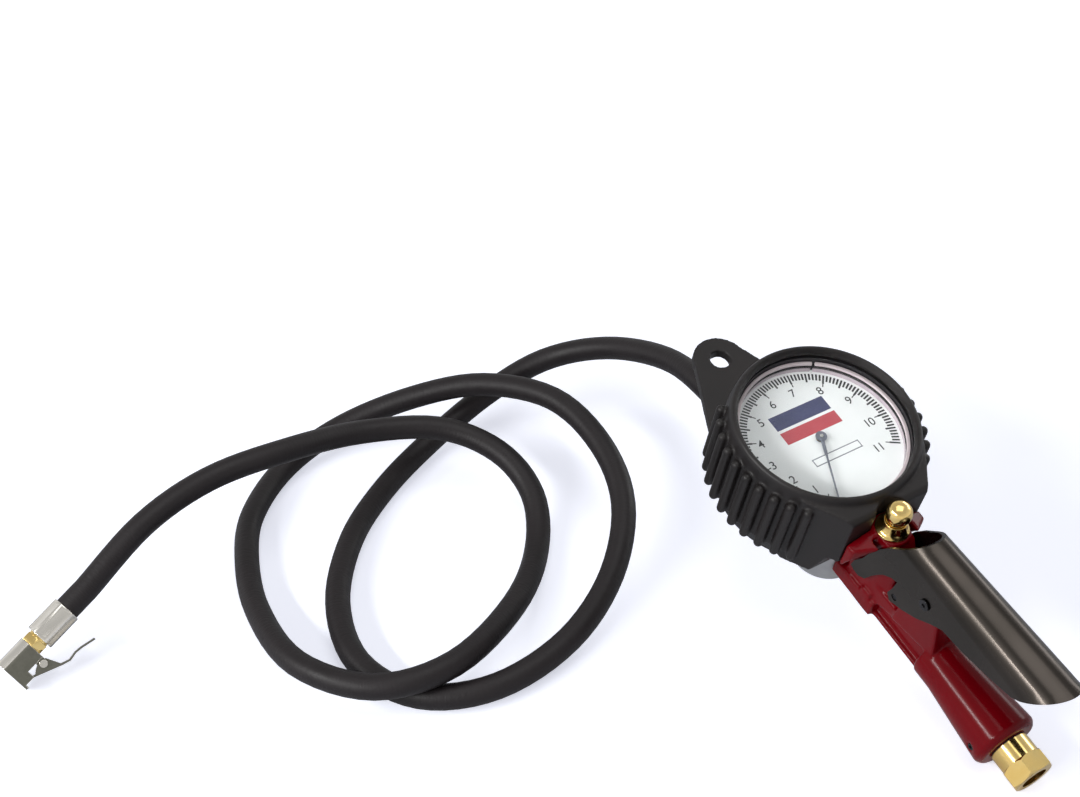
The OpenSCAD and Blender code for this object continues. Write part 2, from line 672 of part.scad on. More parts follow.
module bleed_bush() color("#c9a24a") place_tool() translate([0, -knob_y, 0]) difference() {
    rotate_extrude() polygon([
        [0, -bush_depth], [bush_r, -bush_depth], [bush_r, 0], [bush_flange_r, 0],
        [bush_flange_r, 0.8], [7, 1.2], [6.3, 1.9], [5.7, 3], [5.3, 4.4], [5.1, bush_h],
        [0, bush_h]]);
    translate([0, 0, -bush_depth - over]) cylinder(h = bush_depth + over + seal_seat, r = cavity_r);
    translate([0, 0, seal_seat - over]) cylinder(h = 12, r = button_stem_r + run_gap);
    translate([0, 0, skirt_z - bleed_travel - 0.3]) cylinder(h = bush_h, r = skirt_r + soft_gap);
}

module bleed_button() color("#d4af57") place_tool() translate([0, -knob_y, 0]) {
    rotate_extrude() polygon([
        [0, skirt_z], [skirt_r, skirt_z], [skirt_r, bush_h + bleed_travel + 0.3],
        [4.9, bush_h + bleed_travel + 0.7], [5.5, 9.6], [5.7, 10.4], [5.8, 11.4], [5.7, 12.6],
        [5.2, 14], [4.3, 15.2], [3.2, 16], [1.8, 16.6], [0, button_top]]);
    translate([0, 0, seal_seat - seal_ring_t]) cylinder(h = 9 - seal_seat + seal_ring_t,
                                                        r = button_stem_r);
    translate([0, 0, seal_seat - seal_ring_t - button_disc_t])
        cylinder(h = button_disc_t, r = button_disc_r);
}

module bleed_seal() color("#262626") place_tool()
    translate([0, -knob_y, seal_seat - seal_ring_t])
        tube(seal_ring_t, button_disc_r, button_stem_r + fit_gap);

module bleed_spring() color("#a7abb0") place_tool() translate([0, -knob_y, pocket_z])
    coil(seal_seat - seal_ring_t - button_disc_t - pocket_z, 2.8, 0.3, 4);

// ---- Block behind the gauge ----

module mount_block() color("#b9bcbf") place_tool() difference() {
    union() {
        translate([0, -port_y, block_z]) cylinder(h = block_h, r = block_r);
        along_back([0, -port_y, spigot_z]) cylinder(h = spigot_end - port_y, r = spigot_r);
    }
    translate([0, -port_y, plenum_z]) cylinder(h = block_top - plenum_z + over,
                                               r = stub_r + fit_gap);
    along_back([0, -port_y, spigot_z]) cylinder(h = spigot_end - port_y + over, r = 1.6);
    along_y([0, -port_y, port_z]) cylinder(h = block_r + over, r = air_r);
    along_y([0, -block_face - port_l - 0.5, port_z]) cylinder(h = port_l + over + 0.5,
                                                              r = port_r + fit_gap);
}

module block_seal() color("#2b2b2b") place_tool() translate([0, -port_y, block_top])
    tube(seal_t, 11, stub_r + soft_gap);

// ---- Gauge ----

// Pressure tube as a solid, grown by a gap, between two angles
module tube_form(grow, a1, a2) rotate([0, 0, a1]) rotate_extrude(angle = a2 - a1)
    translate([tube_mean_r - tube_w / 2 - grow, tube_z - grow])
        square([tube_w + 2 * grow, tube_h + 2 * grow]);

module gauge_socket() color("#c9a24a") place_tool() difference() {
    union() {
        translate([-socket_l / 2, -port_y - socket_w / 2, floor_z])
            cube([socket_l, socket_w, socket_h]);
        translate([0, -port_y, stub_z]) cylinder(h = floor_z - stub_z + over, r = stub_r);
    }
    tube_form(fit_gap, 220, 280);
    translate([0, -port_y, stub_z - over]) cylinder(h = tube_z + 5 - stub_z, r = 2.2);
    along_back([2.9, -port_y + 1, tube_z + 3.5]) cylinder(h = 4, r = 1.2);
    for (s = screw_spots) translate([s[0], s[1], rear_z - 5]) cylinder(h = 6, r = 1 + fit_gap);
}

module gauge_case() color("#3a3b3f") place_tool() difference() {
    translate([0, 0, back_z]) cylinder(h = case_depth + case_lip, r = gauge_r);
    translate([0, 0, floor_z]) cylinder(h = case_depth + case_lip, r = case_in_r);
    translate([0, -port_y, back_z - over]) cylinder(h = case_wall + 2 * over, r = stub_r + fit_gap);
}

module bourdon_tube() color("#b08a45") place_tool() difference() {
    tube_form(0, tube_a1, tube_a2);
    tube_form(-tube_wall, tube_a1 - 1, tube_a2 + 1);
}

module tube_tip() color("#c9a24a") place_tool() {
    rotate([0, 0, tube_a1 - tip_len_a]) rotate_extrude(angle = tip_len_a)
        translate([tube_mean_r - tube_w / 2 - 0.9, tube_z - 1]) square([tube_w + 1.8, tube_h + 2]);
    rotate([0, 0, tip_a - 2]) rotate_extrude(angle = 4)
        translate([tip_r - 1, tube_z + tube_h]) square([2, link_z - 0.3 - tube_z - tube_h]);
}

module link() color("#c9a24a") place_tool() {
    dx = tip_x - tail_x;
    dy = tip_y - tail_y;
    reach = sqrt(dx * dx + dy * dy);
    difference() {
        translate([tail_x, tail_y, link_z]) rotate([0, 0, atan2(dy, dx)]) {
            translate([0, -link_w / 2, 0]) cube([reach, link_w, link_t]);
            cylinder(h = link_t, r = 1.9);
            translate([reach, 0, 0]) cylinder(h = link_t, r = 1.9);
        }
        translate([tip_x, tip_y, link_z - over]) cylinder(h = 4, r = 0.9);
    }
    translate([tail_x, tail_y, sector_z - 0.4]) cylinder(h = link_z - sector_z + 0.5, r = arbor_r);
}

// One tooth as a tapered bar from the root circle to the tip circle, pointing along +X
module tooth(pitch, h) linear_extrude(h) polygon([
    [pitch - tooth_d - 0.2, -tooth_w - tooth_in], [pitch + tooth_h, -tooth_w + tooth_in],
    [pitch + tooth_h, tooth_w - tooth_in], [pitch - tooth_d - 0.2, tooth_w + tooth_in]]);

module movement_frame() color("#c2a25a") place_tool() {
    plate = [[-8.5, -31], [8.3, -31], [14.8, -22], [14.2, -16], [8.4, 2], [8.4, 8.4], [-8.4, 8.4],
             [-8.5, -10]];
    difference() {
        union() {
            for (z = [rear_z, front_z]) translate([0, 0, z]) linear_extrude(plate_t) polygon(plate);
            for (p = posts) translate([p[0], p[1], rear_z])
                cylinder(h = -dial_t - rear_z, r = post_r);
        }
        translate([0, 0, rear_z - over]) cylinder(h = 16, r = arbor_r + run_gap);
        translate([sector_x, sector_y, rear_z - over]) cylinder(h = 16, r = arbor_r + run_gap);
        for (s = screw_spots) translate([s[0], s[1], rear_z - over])
            cylinder(h = plate_t + 2 * over, r = 1 + fit_gap);
    }
    translate([coil_r2 + stud_r + 0.1, 0, coil_z - 0.4]) cylinder(h = front_z - coil_z + 0.5,
                                                                r = stud_r);
}

module movement_screws() color("#9aa0a8") place_tool() for (s = screw_spots)
    translate([s[0], s[1], rear_z + plate_t]) difference() {
        union() {
            cylinder(h = 1.4, r = 2);
            translate([0, 0, -5]) cylinder(h = 5.5, r = 1);
        }
        translate([-3, -0.3, 0.8]) cube([6, 0.6, 2]);
    }

module sector_gear() color("#c9a24a") place_tool() translate([sector_x, sector_y, 0]) {
    translate([0, 0, rear_z - 0.4]) cylinder(h = front_z + plate_t - rear_z + 0.8, r = arbor_r);
    translate([0, 0, rear_z + plate_t + 0.3])
        cylinder(h = front_z - rear_z - plate_t - 0.6, r = arbor_hub_r);
    translate([0, 0, sector_z]) difference() {
        union() {
            cylinder(h = sector_t, r = 3.2);
            rotate([0, 0, mesh_a - 180 - (teeth_back + 0.6) * 360 / sector_teeth])
                rotate_extrude(angle = (teeth_back + teeth_ahead + 1.2) * 360 / sector_teeth)
                    translate([pitch_s - 4, 0]) square([4 - tooth_d, sector_t]);
            rotate([0, 0, mesh_a - 180 - 14]) translate([1, -2.2, 0])
                cube([pitch_s - 4, 4.4, sector_t]);
            rotate([0, 0, tail_a]) translate([0, -1.5, 0]) cube([tail_l, 3, sector_t]);
            rotate([0, 0, tail_a]) translate([tail_l, 0, 0]) cylinder(h = sector_t, r = 1.9);
            for (i = [-teeth_back : teeth_ahead])
                rotate([0, 0, mesh_a - 180 + i * 360 / sector_teeth]) tooth(pitch_s, sector_t);
        }
        rotate([0, 0, tail_a]) translate([tail_l, 0, -over])
            cylinder(h = sector_t + 2 * over, r = arbor_r + run_gap);
    }
}

module pinion_spindle() color("#a7abb0") place_tool() {
    translate([0, 0, rear_z - 0.4]) cylinder(h = pointer_z + pointer_t + 0.3 - rear_z + 0.4,
                                             r = arbor_r);
    translate([0, 0, pinion_z]) rotate([0, 0, mesh_a]) linear_extrude(pinion_h)
        polygon([for (i = [0 : pinion_teeth - 1]) each tooth_points((i + 0.5) * 360 / pinion_teeth)]);
    translate([0, 0, pinion_z + pinion_h]) cylinder(h = front_z - 0.3 - pinion_z - pinion_h,
                                                    r = coil_r1 - 0.15);
}

coil_n = coil_turns * 24;
coil_half_t = 0.12;
function coil_spot(i, s) = (coil_r1 + (coil_r2 - coil_r1) * i / coil_n + s * coil_half_t)
                           * [cos(i * 15), sin(i * 15)];
// Flank points of one pinion tooth at an angle
function turned(p, a) = [p[0] * cos(a) - p[1] * sin(a), p[0] * sin(a) + p[1] * cos(a)];
function tooth_points(a) = [
    turned([pitch_p - tooth_d, -tooth_w - tooth_in], a),
    turned([pitch_p + tooth_h, -tooth_w + tooth_in], a),
    turned([pitch_p + tooth_h, tooth_w - tooth_in], a),
    turned([pitch_p - tooth_d, tooth_w + tooth_in], a)];

module hairspring() color("#c7c9cc") place_tool() translate([0, 0, coil_z])
    linear_extrude(0.6) polygon(concat([for (i = [0 : coil_n]) coil_spot(i, 1)],
                                       [for (i = [coil_n : -1 : 0]) coil_spot(i, -1)]));

module dial_plate() color("#f4f4f2") place_tool() translate([0, 0, -dial_t])
    tube(dial_t, stack_r, dial_hole_r);

// Split ring inside the case, from a level up
module split_ring(z, h, w) difference() {
    translate([0, 0, z]) tube(h, stack_r, stack_r - w);
    rotate([0, 0, ring_gap_a]) translate([stack_r - w - over, -ring_gap_w / 2, z - over])
        cube([w + 3 * over, ring_gap_w, h + 2 * over]);
}

module dial_ring() color("#f3efee") place_tool() split_ring(0, dial_ring_h, ring_w - 0.3);

module pointer() color("#6d7076") place_tool() rotate([0, 0, pointer_a])
    translate([0, 0, pointer_z]) difference() {
        union() {
            cylinder(h = pointer_t, r = hub_r);
            linear_extrude(pointer_t) polygon([
                [1, -0.8], [9, -0.7], [11, -0.4], [pointer_l, -0.25], [pointer_l, 0.25],
                [11, 0.4], [9, 0.7], [1, 0.8]]);
        }
        translate([0, 0, -over]) cylinder(h = 3, r = arbor_r + fit_gap / 2);
    }

module lens_gasket() color("#dddddd") place_tool() translate([0, 0, gasket_z])
    tube(gasket_t, stack_r, stack_r - ring_w + 0.2);

module lens() color("#dfe8ee", 0.35) place_tool() translate([0, 0, lens_z])
    cylinder(h = lens_t, r = stack_r);

module snap_ring() color("#efe3e3") place_tool() split_ring(snap_z, snap_h, ring_w);

// Rubber boot: ribbed wall with a rounded rim, block beside the handle and hanging tab
module boot_wall_shape() rotate_extrude() polygon([
    [boot_in_r, boot_bottom], [boot_r, boot_bottom], [boot_r, 5.5], [boot_r - 0.6, 8.6],
    [boot_r - 1.1, rim_z - 2.6], [boot_r - 1.8, rim_z - 0.9], [boot_r - 2.9, rim_z],
    [boot_r - 3.9, rim_z - 0.4], [gauge_r - 0.3, rim_z - 1.5], [stack_r + 0.2, lip_z + 1],
    [stack_r, lip_z], [boot_in_r, lip_z]]);

module boot_block() intersection() {
    translate([0, 0, -34]) linear_extrude(60) polygon([
        [-34, -20], [-34, -28], [-20.4, -block_end], [20.4, -block_end], [34, -28], [34, -20]]);
    side_profile(80) polygon([
        [-20, -33], [-39.5, -33], [-43.5, -19], [-block_end, -19], [-block_end, 8.6],
        [-block_end + 2, lip_z - 0.3], [-38, lip_z + 0.4], [-20, lip_z + 0.4]]);
}

module boot() color("#2c2a2c") place_tool() difference() {
    union() {
        boot_wall_shape();
        difference() {
            boot_block();
            translate([0, 0, -40]) cylinder(h = 40 + lip_z, r = boot_in_r);
            translate([0, 0, lip_z - over]) cylinder(h = 10, r = boot_r - 3.2);
        }
        for (s = [1, -1], i = [0 : ribs_side - 1])
            rotate([0, 0, 90 + s * (48.6 + i * rib_pitch)])
                translate([boot_r + 1.6, 0, boot_bottom + 0.5]) cylinder(h = 32.6, r = rib_r, $fn = 40);
        difference() {
            translate([0, 0, boot_bottom]) linear_extrude(tab_t) union() {
                polygon([[-31, 31], [31, 31], [tab_d / 2 - 0.6, eye_y + 3.2],
                         [-tab_d / 2 + 0.6, eye_y + 3.2]]);
                translate([0, eye_y]) circle(r = tab_d / 2);
            }
            translate([0, 0, boot_bottom - over]) cylinder(h = tab_t + 2 * over,
                                                           r = boot_in_r + 1);
        }
    }
    translate([0, eye_y, boot_bottom - over]) cylinder(h = tab_t + 2 * over, r = eye_d / 2);
    translate([0, -knob_y, -40]) cylinder(h = 80, r = boss_r + 0.3);
    translate([-12, -60, -40]) cube([24, 60 - 42, 40 - 10.5]);
    translate([-13, -60, -40]) cube([26, 30, 40 - 17]);
}

// ---- Hose ends ----

module hose_nipple() color("#c9a24a") place_tool() difference() {
    union() {
        along_y([0, -block_face - port_l, port_z]) cylinder(h = port_l, r = port_r);
        along_y([0, -block_face, port_z]) hexagon(nipple_hex_l, hose_af);
        along_y([0, ferrule_y, port_z]) cylinder(h = ferrule_l - 4, r = tail_r);
    }
    along_y([0, -block_face - port_l - over, port_z])
        cylinder(h = port_l + nipple_hex_l + ferrule_l, r = air_r);
}

module hose_ferrule() color("#b4b6b8") place_tool() difference() {
    along_y([0, ferrule_y, port_z]) cylinder(h = ferrule_l, r = ferrule_r);
    along_y([0, ferrule_y - over, port_z]) cylinder(h = ferrule_l - 4 + over, r = tail_r + fit_gap);
    for (y = [6, 11, 16]) along_y([0, ferrule_y + y, port_z]) tube(1.2, ferrule_r + 1,
                                                                 ferrule_r - 0.5);
}

module hose() color("#2a282a")
    swept(straight_ends(smooth(hose_route, hose_steps, hose_r), hose_steps), hose_r, hose_sides,
          [0, 0, 1]);

// ---- Chuck ----

// Chuck frame: +X from the hose to the mouth, +Y toward the clip
module place_chuck() translate(chuck_at) rotate(chuck_turn) children();

module chuck_ferrule() color("#a9a39a") place_chuck() difference() {
    intersection() {
        along_x([0, 0, 0]) rotate([0, 0, 30]) hexagon(chuck_ferrule_l, chuck_ferrule_af);
        along_x([0, 0, 0]) cylinder(h = chuck_ferrule_l, r = chuck_ferrule_af / 2 + 0.7);
    }
    along_x([3, 0, 0]) cylinder(h = chuck_ferrule_l, r = tail_r + fit_gap);
}

module chuck_nipple() color("#c9a24a") place_chuck() difference() {
    union() {
        along_x([3.2, 0, 0]) cylinder(h = chuck_ferrule_l + nipple_neck_l, r = tail_r);
        along_x([chuck_ferrule_l + nipple_neck_l, 0, 0])
            hexagon(nipple_l - nipple_neck_l, nipple_af);
        along_x([chuck_x, 0, 0]) cylinder(h = chuck_thread_l, r = chuck_thread_r);
    }
    along_x([0, 0, 0]) cylinder(h = chuck_end, r = air_r);
}

// Round half and square half, with the taller guard and lip beside the mouth
module chuck_body() color("#b3aea6") place_chuck() difference() {
    union() {
        along_x([chuck_x, 0, 0]) cylinder(h = chuck_l, r = chuck_r);
        translate([chuck_x, 0, -chuck_r]) cube([chuck_l, 7, 2 * chuck_r]);
        translate([chuck_end - 6.2, 0, -chuck_r]) cube([6.2, 10.6, 2 * chuck_r]);
        translate([chuck_end - 1.3, 0, -chuck_r]) cube([1.3, 12.2, 2 * chuck_r]);
        translate([chuck_x, 0, -ear_half]) cube([4.4, rivet_y, 2 * ear_half]);
        translate([rivet_x, rivet_y, -ear_half]) cylinder(h = 2 * ear_half, r = 2.4);
    }
    along_x([chuck_x - over, 0, 0])
        cylinder(h = chuck_thread_l + over + 0.4, r = chuck_thread_r + fit_gap);
    along_x([chuck_x, 0, 0]) cylinder(h = chuck_l, r = 2.4);
    along_x([seal_x, 0, 0]) cylinder(h = chuck_seal_t, r = chuck_seal_r + fit_gap);
    along_x([chuck_end - mouth_l, 0, 0]) cylinder(h = mouth_l + over, r = mouth_r);
    // slot for the clip's foot, through to the mouth, and the room round the rivet's spring
    translate([chuck_end - 6.6, 2.6, -slot_half]) cube([5, 16, 2 * slot_half]);
    translate([chuck_x - over, 6.2, -slot_half]) cube([6.4, 10, 2 * slot_half]);
    translate([rivet_x, rivet_y, -ear_half - over]) cylinder(h = 2 * ear_half + 2 * over,
                                                             r = rivet_r + fit_gap);
}

module chuck_seal() color("#262626") place_chuck()
    along_x([seal_x, 0, 0]) tube(chuck_seal_t - 0.1, chuck_seal_r, 2.2);

module chuck_pin() color("#c9a24a") place_chuck() {
    pin_x = chuck_x + chuck_thread_l + 0.1;
    along_x([pin_x, 0, 0]) cylinder(h = seal_x + chuck_seal_t - 0.4 - pin_x, r = 0.9);
    along_x([pin_x, 0, 0]) difference() {
        cylinder(h = 0.8, r = 2.36);
        for (a = [45, 135]) rotate([0, 0, a]) translate([-3, -0.4, -over]) difference() {
            cube([6, 0.8, 3]);
            translate([1.9, -1, -1]) cube([2.2, 3, 5]);
        }
    }
}

// Clip of folded sheet: two cheeks on the rivet, a back, a thumb arm and a hooked foot
module clip_slab(half) translate([rivet_x, rivet_y, -half]) linear_extrude(2 * half) children();
module clip_cheek() clip_slab(cheek_out) polygon([
    [-2.3, -1.2], [0.5, -1.9], [2.4, -1.6], [5, -0.2], [6.6, 1.4], [-5.5, 6.8], [-5.1, 5.7]]);

module chuck_clip() color("#b3aea6") place_chuck() difference() {
    union() {
        difference() {
            clip_cheek();
            translate([rivet_x - 20, rivet_y - 20, -cheek_in]) cube([40, 40, 2 * cheek_in]);
        }
        clip_slab(cheek_out) polygon([[6.6, 1.4], [-5.5, 6.8], [-5.9, 5.9], [6.2, 0.5]]);
        clip_slab(arm_half) polygon([
            [-5.3, 6.7], [-8.8, 7.9], [-13, 7.3], [-16.2, 7.7], [-23, 9.4],
            [-23.2, 8.5], [-16.3, 6.8], [-13, 6.4], [-8.9, 7], [-5.7, 5.8]]);
        clip_slab(foot_half) polygon([
            [6.6, 1.4], [8.7, 0.9], [9.4, 0.1], [9.4, -4.8], [8.5, -4.8], [8.5, -0.1],
            [6.2, 0.5]]);
    }
    translate([rivet_x, rivet_y, -cheek_out - over])
        cylinder(h = 2 * cheek_out + 2 * over, r = rivet_r + run_gap);
}

module chuck_rivet() color("#9aa0a8") place_chuck()
    translate([rivet_x, rivet_y, -cheek_out - 0.75]) {
        cylinder(h = 2 * cheek_out + 1.5, r = rivet_r);
        cylinder(h = 0.7, r = rivet_r + 0.3);
        translate([0, 0, 2 * cheek_out + 0.8]) cylinder(h = 0.7, r = rivet_r + 0.3);
    }

module chuck_spring() color("#a7abb0") place_chuck()
    translate([rivet_x, rivet_y, -2.9]) coil(5.8, 2, 0.3, 5);

body_casting();
inlet_connector();
inlet_seal();
inlet_filter();
retaining_screw();
lever();
lever_pivot();
pivot_clip();
push_pin();
valve_stem();
valve_washer();
valve_gland();
valve_spring();
valve_cap();
bleed_bush();
bleed_button();
bleed_spring();
bleed_seal();
mount_block();
block_seal();
gauge_socket();
gauge_case();
bourdon_tube();
tube_tip();
link();
movement_frame();
movement_screws();
sector_gear();
pinion_spindle();
hairspring();
dial_plate();
dial_ring();
pointer();
lens();
lens_gasket();
snap_ring();
boot();
hose_nipple();
hose_ferrule();
hose();
chuck_ferrule();
chuck_nipple();
chuck_body();
chuck_seal();
chuck_pin();
chuck_clip();
chuck_rivet();
chuck_spring();
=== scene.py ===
"""Hand-held tyre inflator with a dial gauge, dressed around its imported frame.

Lengths are millimetres until a mesh is finished, and metres after that. Pieces of the tool are
drawn in the tool's own frame: the dial's centre is the origin, +Y runs to the hanging eye and +Z
out of the dial. TOOL then leans them back as the tool rests. CHUCK does the same for the pieces
at the far end of the hose, whose +X runs to the chuck's mouth.
"""

import json
import logging
import math
from collections.abc import Sequence
from dataclasses import dataclass
from enum import Enum

import bmesh
import bpy
from mathutils import Euler, Matrix, Vector

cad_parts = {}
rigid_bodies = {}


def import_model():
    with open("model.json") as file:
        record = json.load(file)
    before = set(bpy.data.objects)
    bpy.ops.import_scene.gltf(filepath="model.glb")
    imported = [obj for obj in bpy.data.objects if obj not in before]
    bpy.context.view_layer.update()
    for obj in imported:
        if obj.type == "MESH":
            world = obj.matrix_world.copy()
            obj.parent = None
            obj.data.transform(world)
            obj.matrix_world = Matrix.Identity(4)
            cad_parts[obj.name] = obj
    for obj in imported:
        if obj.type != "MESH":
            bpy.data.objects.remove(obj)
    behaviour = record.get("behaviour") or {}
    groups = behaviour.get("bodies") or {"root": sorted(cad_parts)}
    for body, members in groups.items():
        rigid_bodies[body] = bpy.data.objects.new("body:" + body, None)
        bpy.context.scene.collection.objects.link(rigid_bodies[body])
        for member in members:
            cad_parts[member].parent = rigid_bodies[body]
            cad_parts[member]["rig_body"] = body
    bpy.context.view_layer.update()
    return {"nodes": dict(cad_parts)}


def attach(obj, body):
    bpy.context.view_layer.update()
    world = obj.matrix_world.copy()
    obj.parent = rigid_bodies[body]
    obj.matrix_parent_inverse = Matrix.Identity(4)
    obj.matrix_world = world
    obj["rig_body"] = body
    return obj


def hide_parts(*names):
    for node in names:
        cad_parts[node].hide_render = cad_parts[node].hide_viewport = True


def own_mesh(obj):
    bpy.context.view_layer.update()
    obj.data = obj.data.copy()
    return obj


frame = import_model()

LOG = logging.getLogger("inflator")
MM = 0.001
SCALE = Matrix.Diagonal((MM, MM, MM, 1.0))
LEAN = math.radians(17.0)
DIAL_AT = Vector((0.0, 34.7655, 89.9168))
TOOL = Matrix.Translation(DIAL_AT * MM) @ Matrix.Rotation(LEAN, 4, "X") @ SCALE
CHUCK_AT = Vector((-306.0, 192.2, 25.6))
CHUCK_TURN = Euler([math.radians(a) for a in (-44.0, 21.0, -166.0)]).to_matrix().to_4x4()
CHUCK = Matrix.Translation(CHUCK_AT * MM) @ CHUCK_TURN @ SCALE
ROOT = "tool"
SHARP = math.radians(34.0)  # faces that meet at more than this keep a crisp edge
SOFT = math.radians(70.0)  # the same for cast and moulded pieces, whose edges are rounded already
FLAT = math.radians(0.5)  # faces that meet at less than this are one face
WELD = 2e-6  # corners closer than this, in metres, are one corner
EASE = 0.5  # how far a pass moves a corner of a cast or moulded piece toward its neighbours
SPREAD = (0.35, 0.65)  # noise values between which the base tone turns into the patches' tone
WHITE = (1.0, 1.0, 1.0, 1.0)


def linear(colour: str) -> tuple[float, float, float, float]:
    """Turn an sRGB hex colour into linear light.

    Args:
        colour: Six hex digits.

    Returns:
        Red, green, blue and an alpha of 1.
    """
    parts = [int(colour[i:i + 2], 16) / 255 for i in (0, 2, 4)]
    light = [c / 12.92 if c <= 0.04045 else ((c + 0.055) / 1.055) ** 2.4 for c in parts]
    return light[0], light[1], light[2], 1.0


def blank(block: bpy.types.Material | bpy.types.World) -> bpy.types.NodeTree:
    """Turn a new block's shader nodes on and clear them.

    Args:
        block: Material or world.

    Returns:
        Its empty node tree.
    """
    block.use_nodes = True
    block.node_tree.nodes.clear()
    return block.node_tree


def add(tree: bpy.types.NodeTree, kind: str, settings: dict | None = None,
        links: dict | None = None) -> bpy.types.Node:
    """Add a shader node.

    Args:
        tree: Node tree that gets it.
        kind: Blender's name for the node, without the ShaderNode in front.
        settings: Properties and unlinked socket values, by name.
        links: Output sockets that feed its inputs, by input name or number.

    Returns:
        The node.
    """
    node = tree.nodes.new("ShaderNode" + kind)
    for key, value in (settings or {}).items():
        if hasattr(node, key):
            setattr(node, key, value)
        else:
            node.inputs[key].default_value = value
    for key, source in (links or {}).items():
        tree.links.new(source, node.inputs[key])
    return node


def mapped(tree: bpy.types.NodeTree, value: bpy.types.NodeSocket,
           source: tuple[float, float] = (0.0, 1.0),
           target: tuple[float, float] = (0.0, 1.0)) -> bpy.types.NodeSocket:
    """Map one range of a value onto another.

    Args:
        tree: Node tree that it belongs to.
        value: Output socket with the value.
        source: Both ends of its range.
        target: What they become.

    Returns:
        Output socket with the result.
    """
    node = add(tree, "MapRange", {"From Min": source[0], "From Max": source[1],
                                  "To Min": target[0], "To Max": target[1]}, {"Value": value})
    return node.outputs[0]


def new_object(name: str, data: bpy.types.ID) -> bpy.types.Object:
    """Make an object and link it to the scene.

    Args:
        name: Name of the object.
        data: Its mesh, text, lamp or camera.

    Returns:
        The object.
    """
    made = bpy.data.objects.new(name, data)
    bpy.context.scene.collection.objects.link(made)
    return made


class Grain(Enum):
    """How a surface was made, which sets the direction of its fine relief."""

    CAST = "cast"
    MOULDED = "moulded"
    BRUSHED = "brushed along the tool"
    TURNED = "turned round the tool's Y"
    WRAPPED = "wrapped in tape while it cured"
    PRINTED = "printed"


@dataclass(frozen=True)
class Finish:
    """A material of one real surface, built from a base tone, its patches and its grain.

    Args:
        name: Plain name of the material and how it was made.
        tone: sRGB hex of the base colour.
        patch: sRGB hex of the patches that lie in it.
        grain: How the surface was made.
        grain_mm: Size of the grain.
        relief_mm: Depth of the grain.
        patch_mm: Size of the patches.
        rough: Roughness between the patches.
        rough_patch: Roughness of the patches.
        metallic: 1 for bare metal.
        specular: Strength of the surface reflection, 0.5 for a plain one.
    """

    name: str
    tone: str
    patch: str
    grain: Grain
    grain_mm: float
    relief_mm: float
    patch_mm: float
    rough: float
    rough_patch: float
    metallic: float = 0.0
    specular: float = 0.5

    def grain_scale(self) -> tuple[float, float, float]:
        """Return how far the grain is stretched along the tool's X, Y and Z."""
        return {Grain.BRUSHED: (1.0, 0.03, 1.0), Grain.TURNED: (0.05, 1.0, 0.05),
                Grain.WRAPPED: (0.35, 1.0, 1.0)}.get(self.grain, (1.0, 1.0, 1.0))

    def build(self) -> bpy.types.Material:
        """Make the material, or return it if it has been made.

        Returns:
            The material.
        """
        made = bpy.data.materials.get(self.name)
        if made:
            return made
        made = bpy.data.materials.new(self.name)
        tree = blank(made)
        place = add(tree, "TexCoord")
        spot = place.outputs["UV" if self.grain is Grain.WRAPPED else "Object"]
        unit = 1.0 if self.grain is Grain.WRAPPED else 1.0 / MM
        turned = add(tree, "Mapping", {"Rotation": (-LEAN, 0.0, 0.0), "Scale": (unit,) * 3},
                     {"Vector": spot})
        stretched = add(tree, "Mapping", {"Scale": self.grain_scale()},
                        {"Vector": turned.outputs[0]})
        patches = add(tree, "TexNoise", {"Scale": 1 / self.patch_mm, "Detail": 3.0},
                      {"Vector": turned.outputs[0]})
        grain = add(tree, "TexNoise", {"Scale": 1 / self.grain_mm, "Detail": 2.0},
                    {"Vector": stretched.outputs[0]})
        spread = mapped(tree, patches.outputs["Fac"], SPREAD)
        colour = add(tree, "Mix", {"data_type": "RGBA", "A": linear(self.tone),
                                   "B": linear(self.patch)}, {"Factor": spread})
        rough = mapped(tree, spread, target=(self.rough, self.rough_patch))
        bump = add(tree, "Bump", {"Strength": 1.0, "Distance": self.relief_mm * MM},
                   {"Height": grain.outputs["Fac"]})
        shader = add(tree, "BsdfPrincipled",
                     {"Metallic": self.metallic, "Specular IOR Level": self.specular},
                     {"Base Color": colour.outputs[2], "Roughness": rough,
                      "Normal": bump.outputs[0]})
        add(tree, "OutputMaterial", links={"Surface": shader.outputs[0]})
        return made


@dataclass(frozen=True)
class Window:
    """Clear moulded acrylic of the gauge window, which lets the lamps reach the dial."""

    name: str = "clear_acrylic_moulded"
    tone: str = "F7FAFB"
    rough: float = 0.03
    ior: float = 1.49

    def build(self) -> bpy.types.Material:
        """Make the material.

        Returns:
            The material.
        """
        made = bpy.data.materials.new(self.name)
        tree = blank(made)
        body = add(tree, "BsdfPrincipled", {"Base Color": linear(self.tone), "IOR": self.ior,
                                            "Roughness": self.rough, "Transmission Weight": 1.0})
        open_way = add(tree, "BsdfTransparent")
        path = add(tree, "LightPath")
        both = add(tree, "MixShader", links={"Fac": path.outputs["Is Shadow Ray"],
                                             1: body.outputs[0], 2: open_way.outputs[0]})
        add(tree, "OutputMaterial", links={"Surface": both.outputs[0]})
        return made


# Crimson stoving enamel on a die casting: wet gloss over a faint orange peel
ENAMEL = Finish("crimson_enamel_sprayed", "78030F", "6E020D", Grain.CAST, 2.2, 0.004, 30.0,
                0.16, 0.20, specular=0.15)
# Pressed steel under a thin dark bronze electrocoat: satin metal sheen with long soft streaks
ELECTROCOAT = Finish("bronze_electrocoat_pressed", "45403C", "3C3834", Grain.BRUSHED, 0.8, 0.003,
                     40.0, 0.24, 0.30, metallic=1.0)
# Turned brass, polished bright: warm yellow with fine rings from the tool
BRASS = Finish("brass_turned_polished", "F5D994", "EECB7C", Grain.TURNED, 0.5, 0.002, 14.0,
               0.12, 0.20, metallic=1.0)
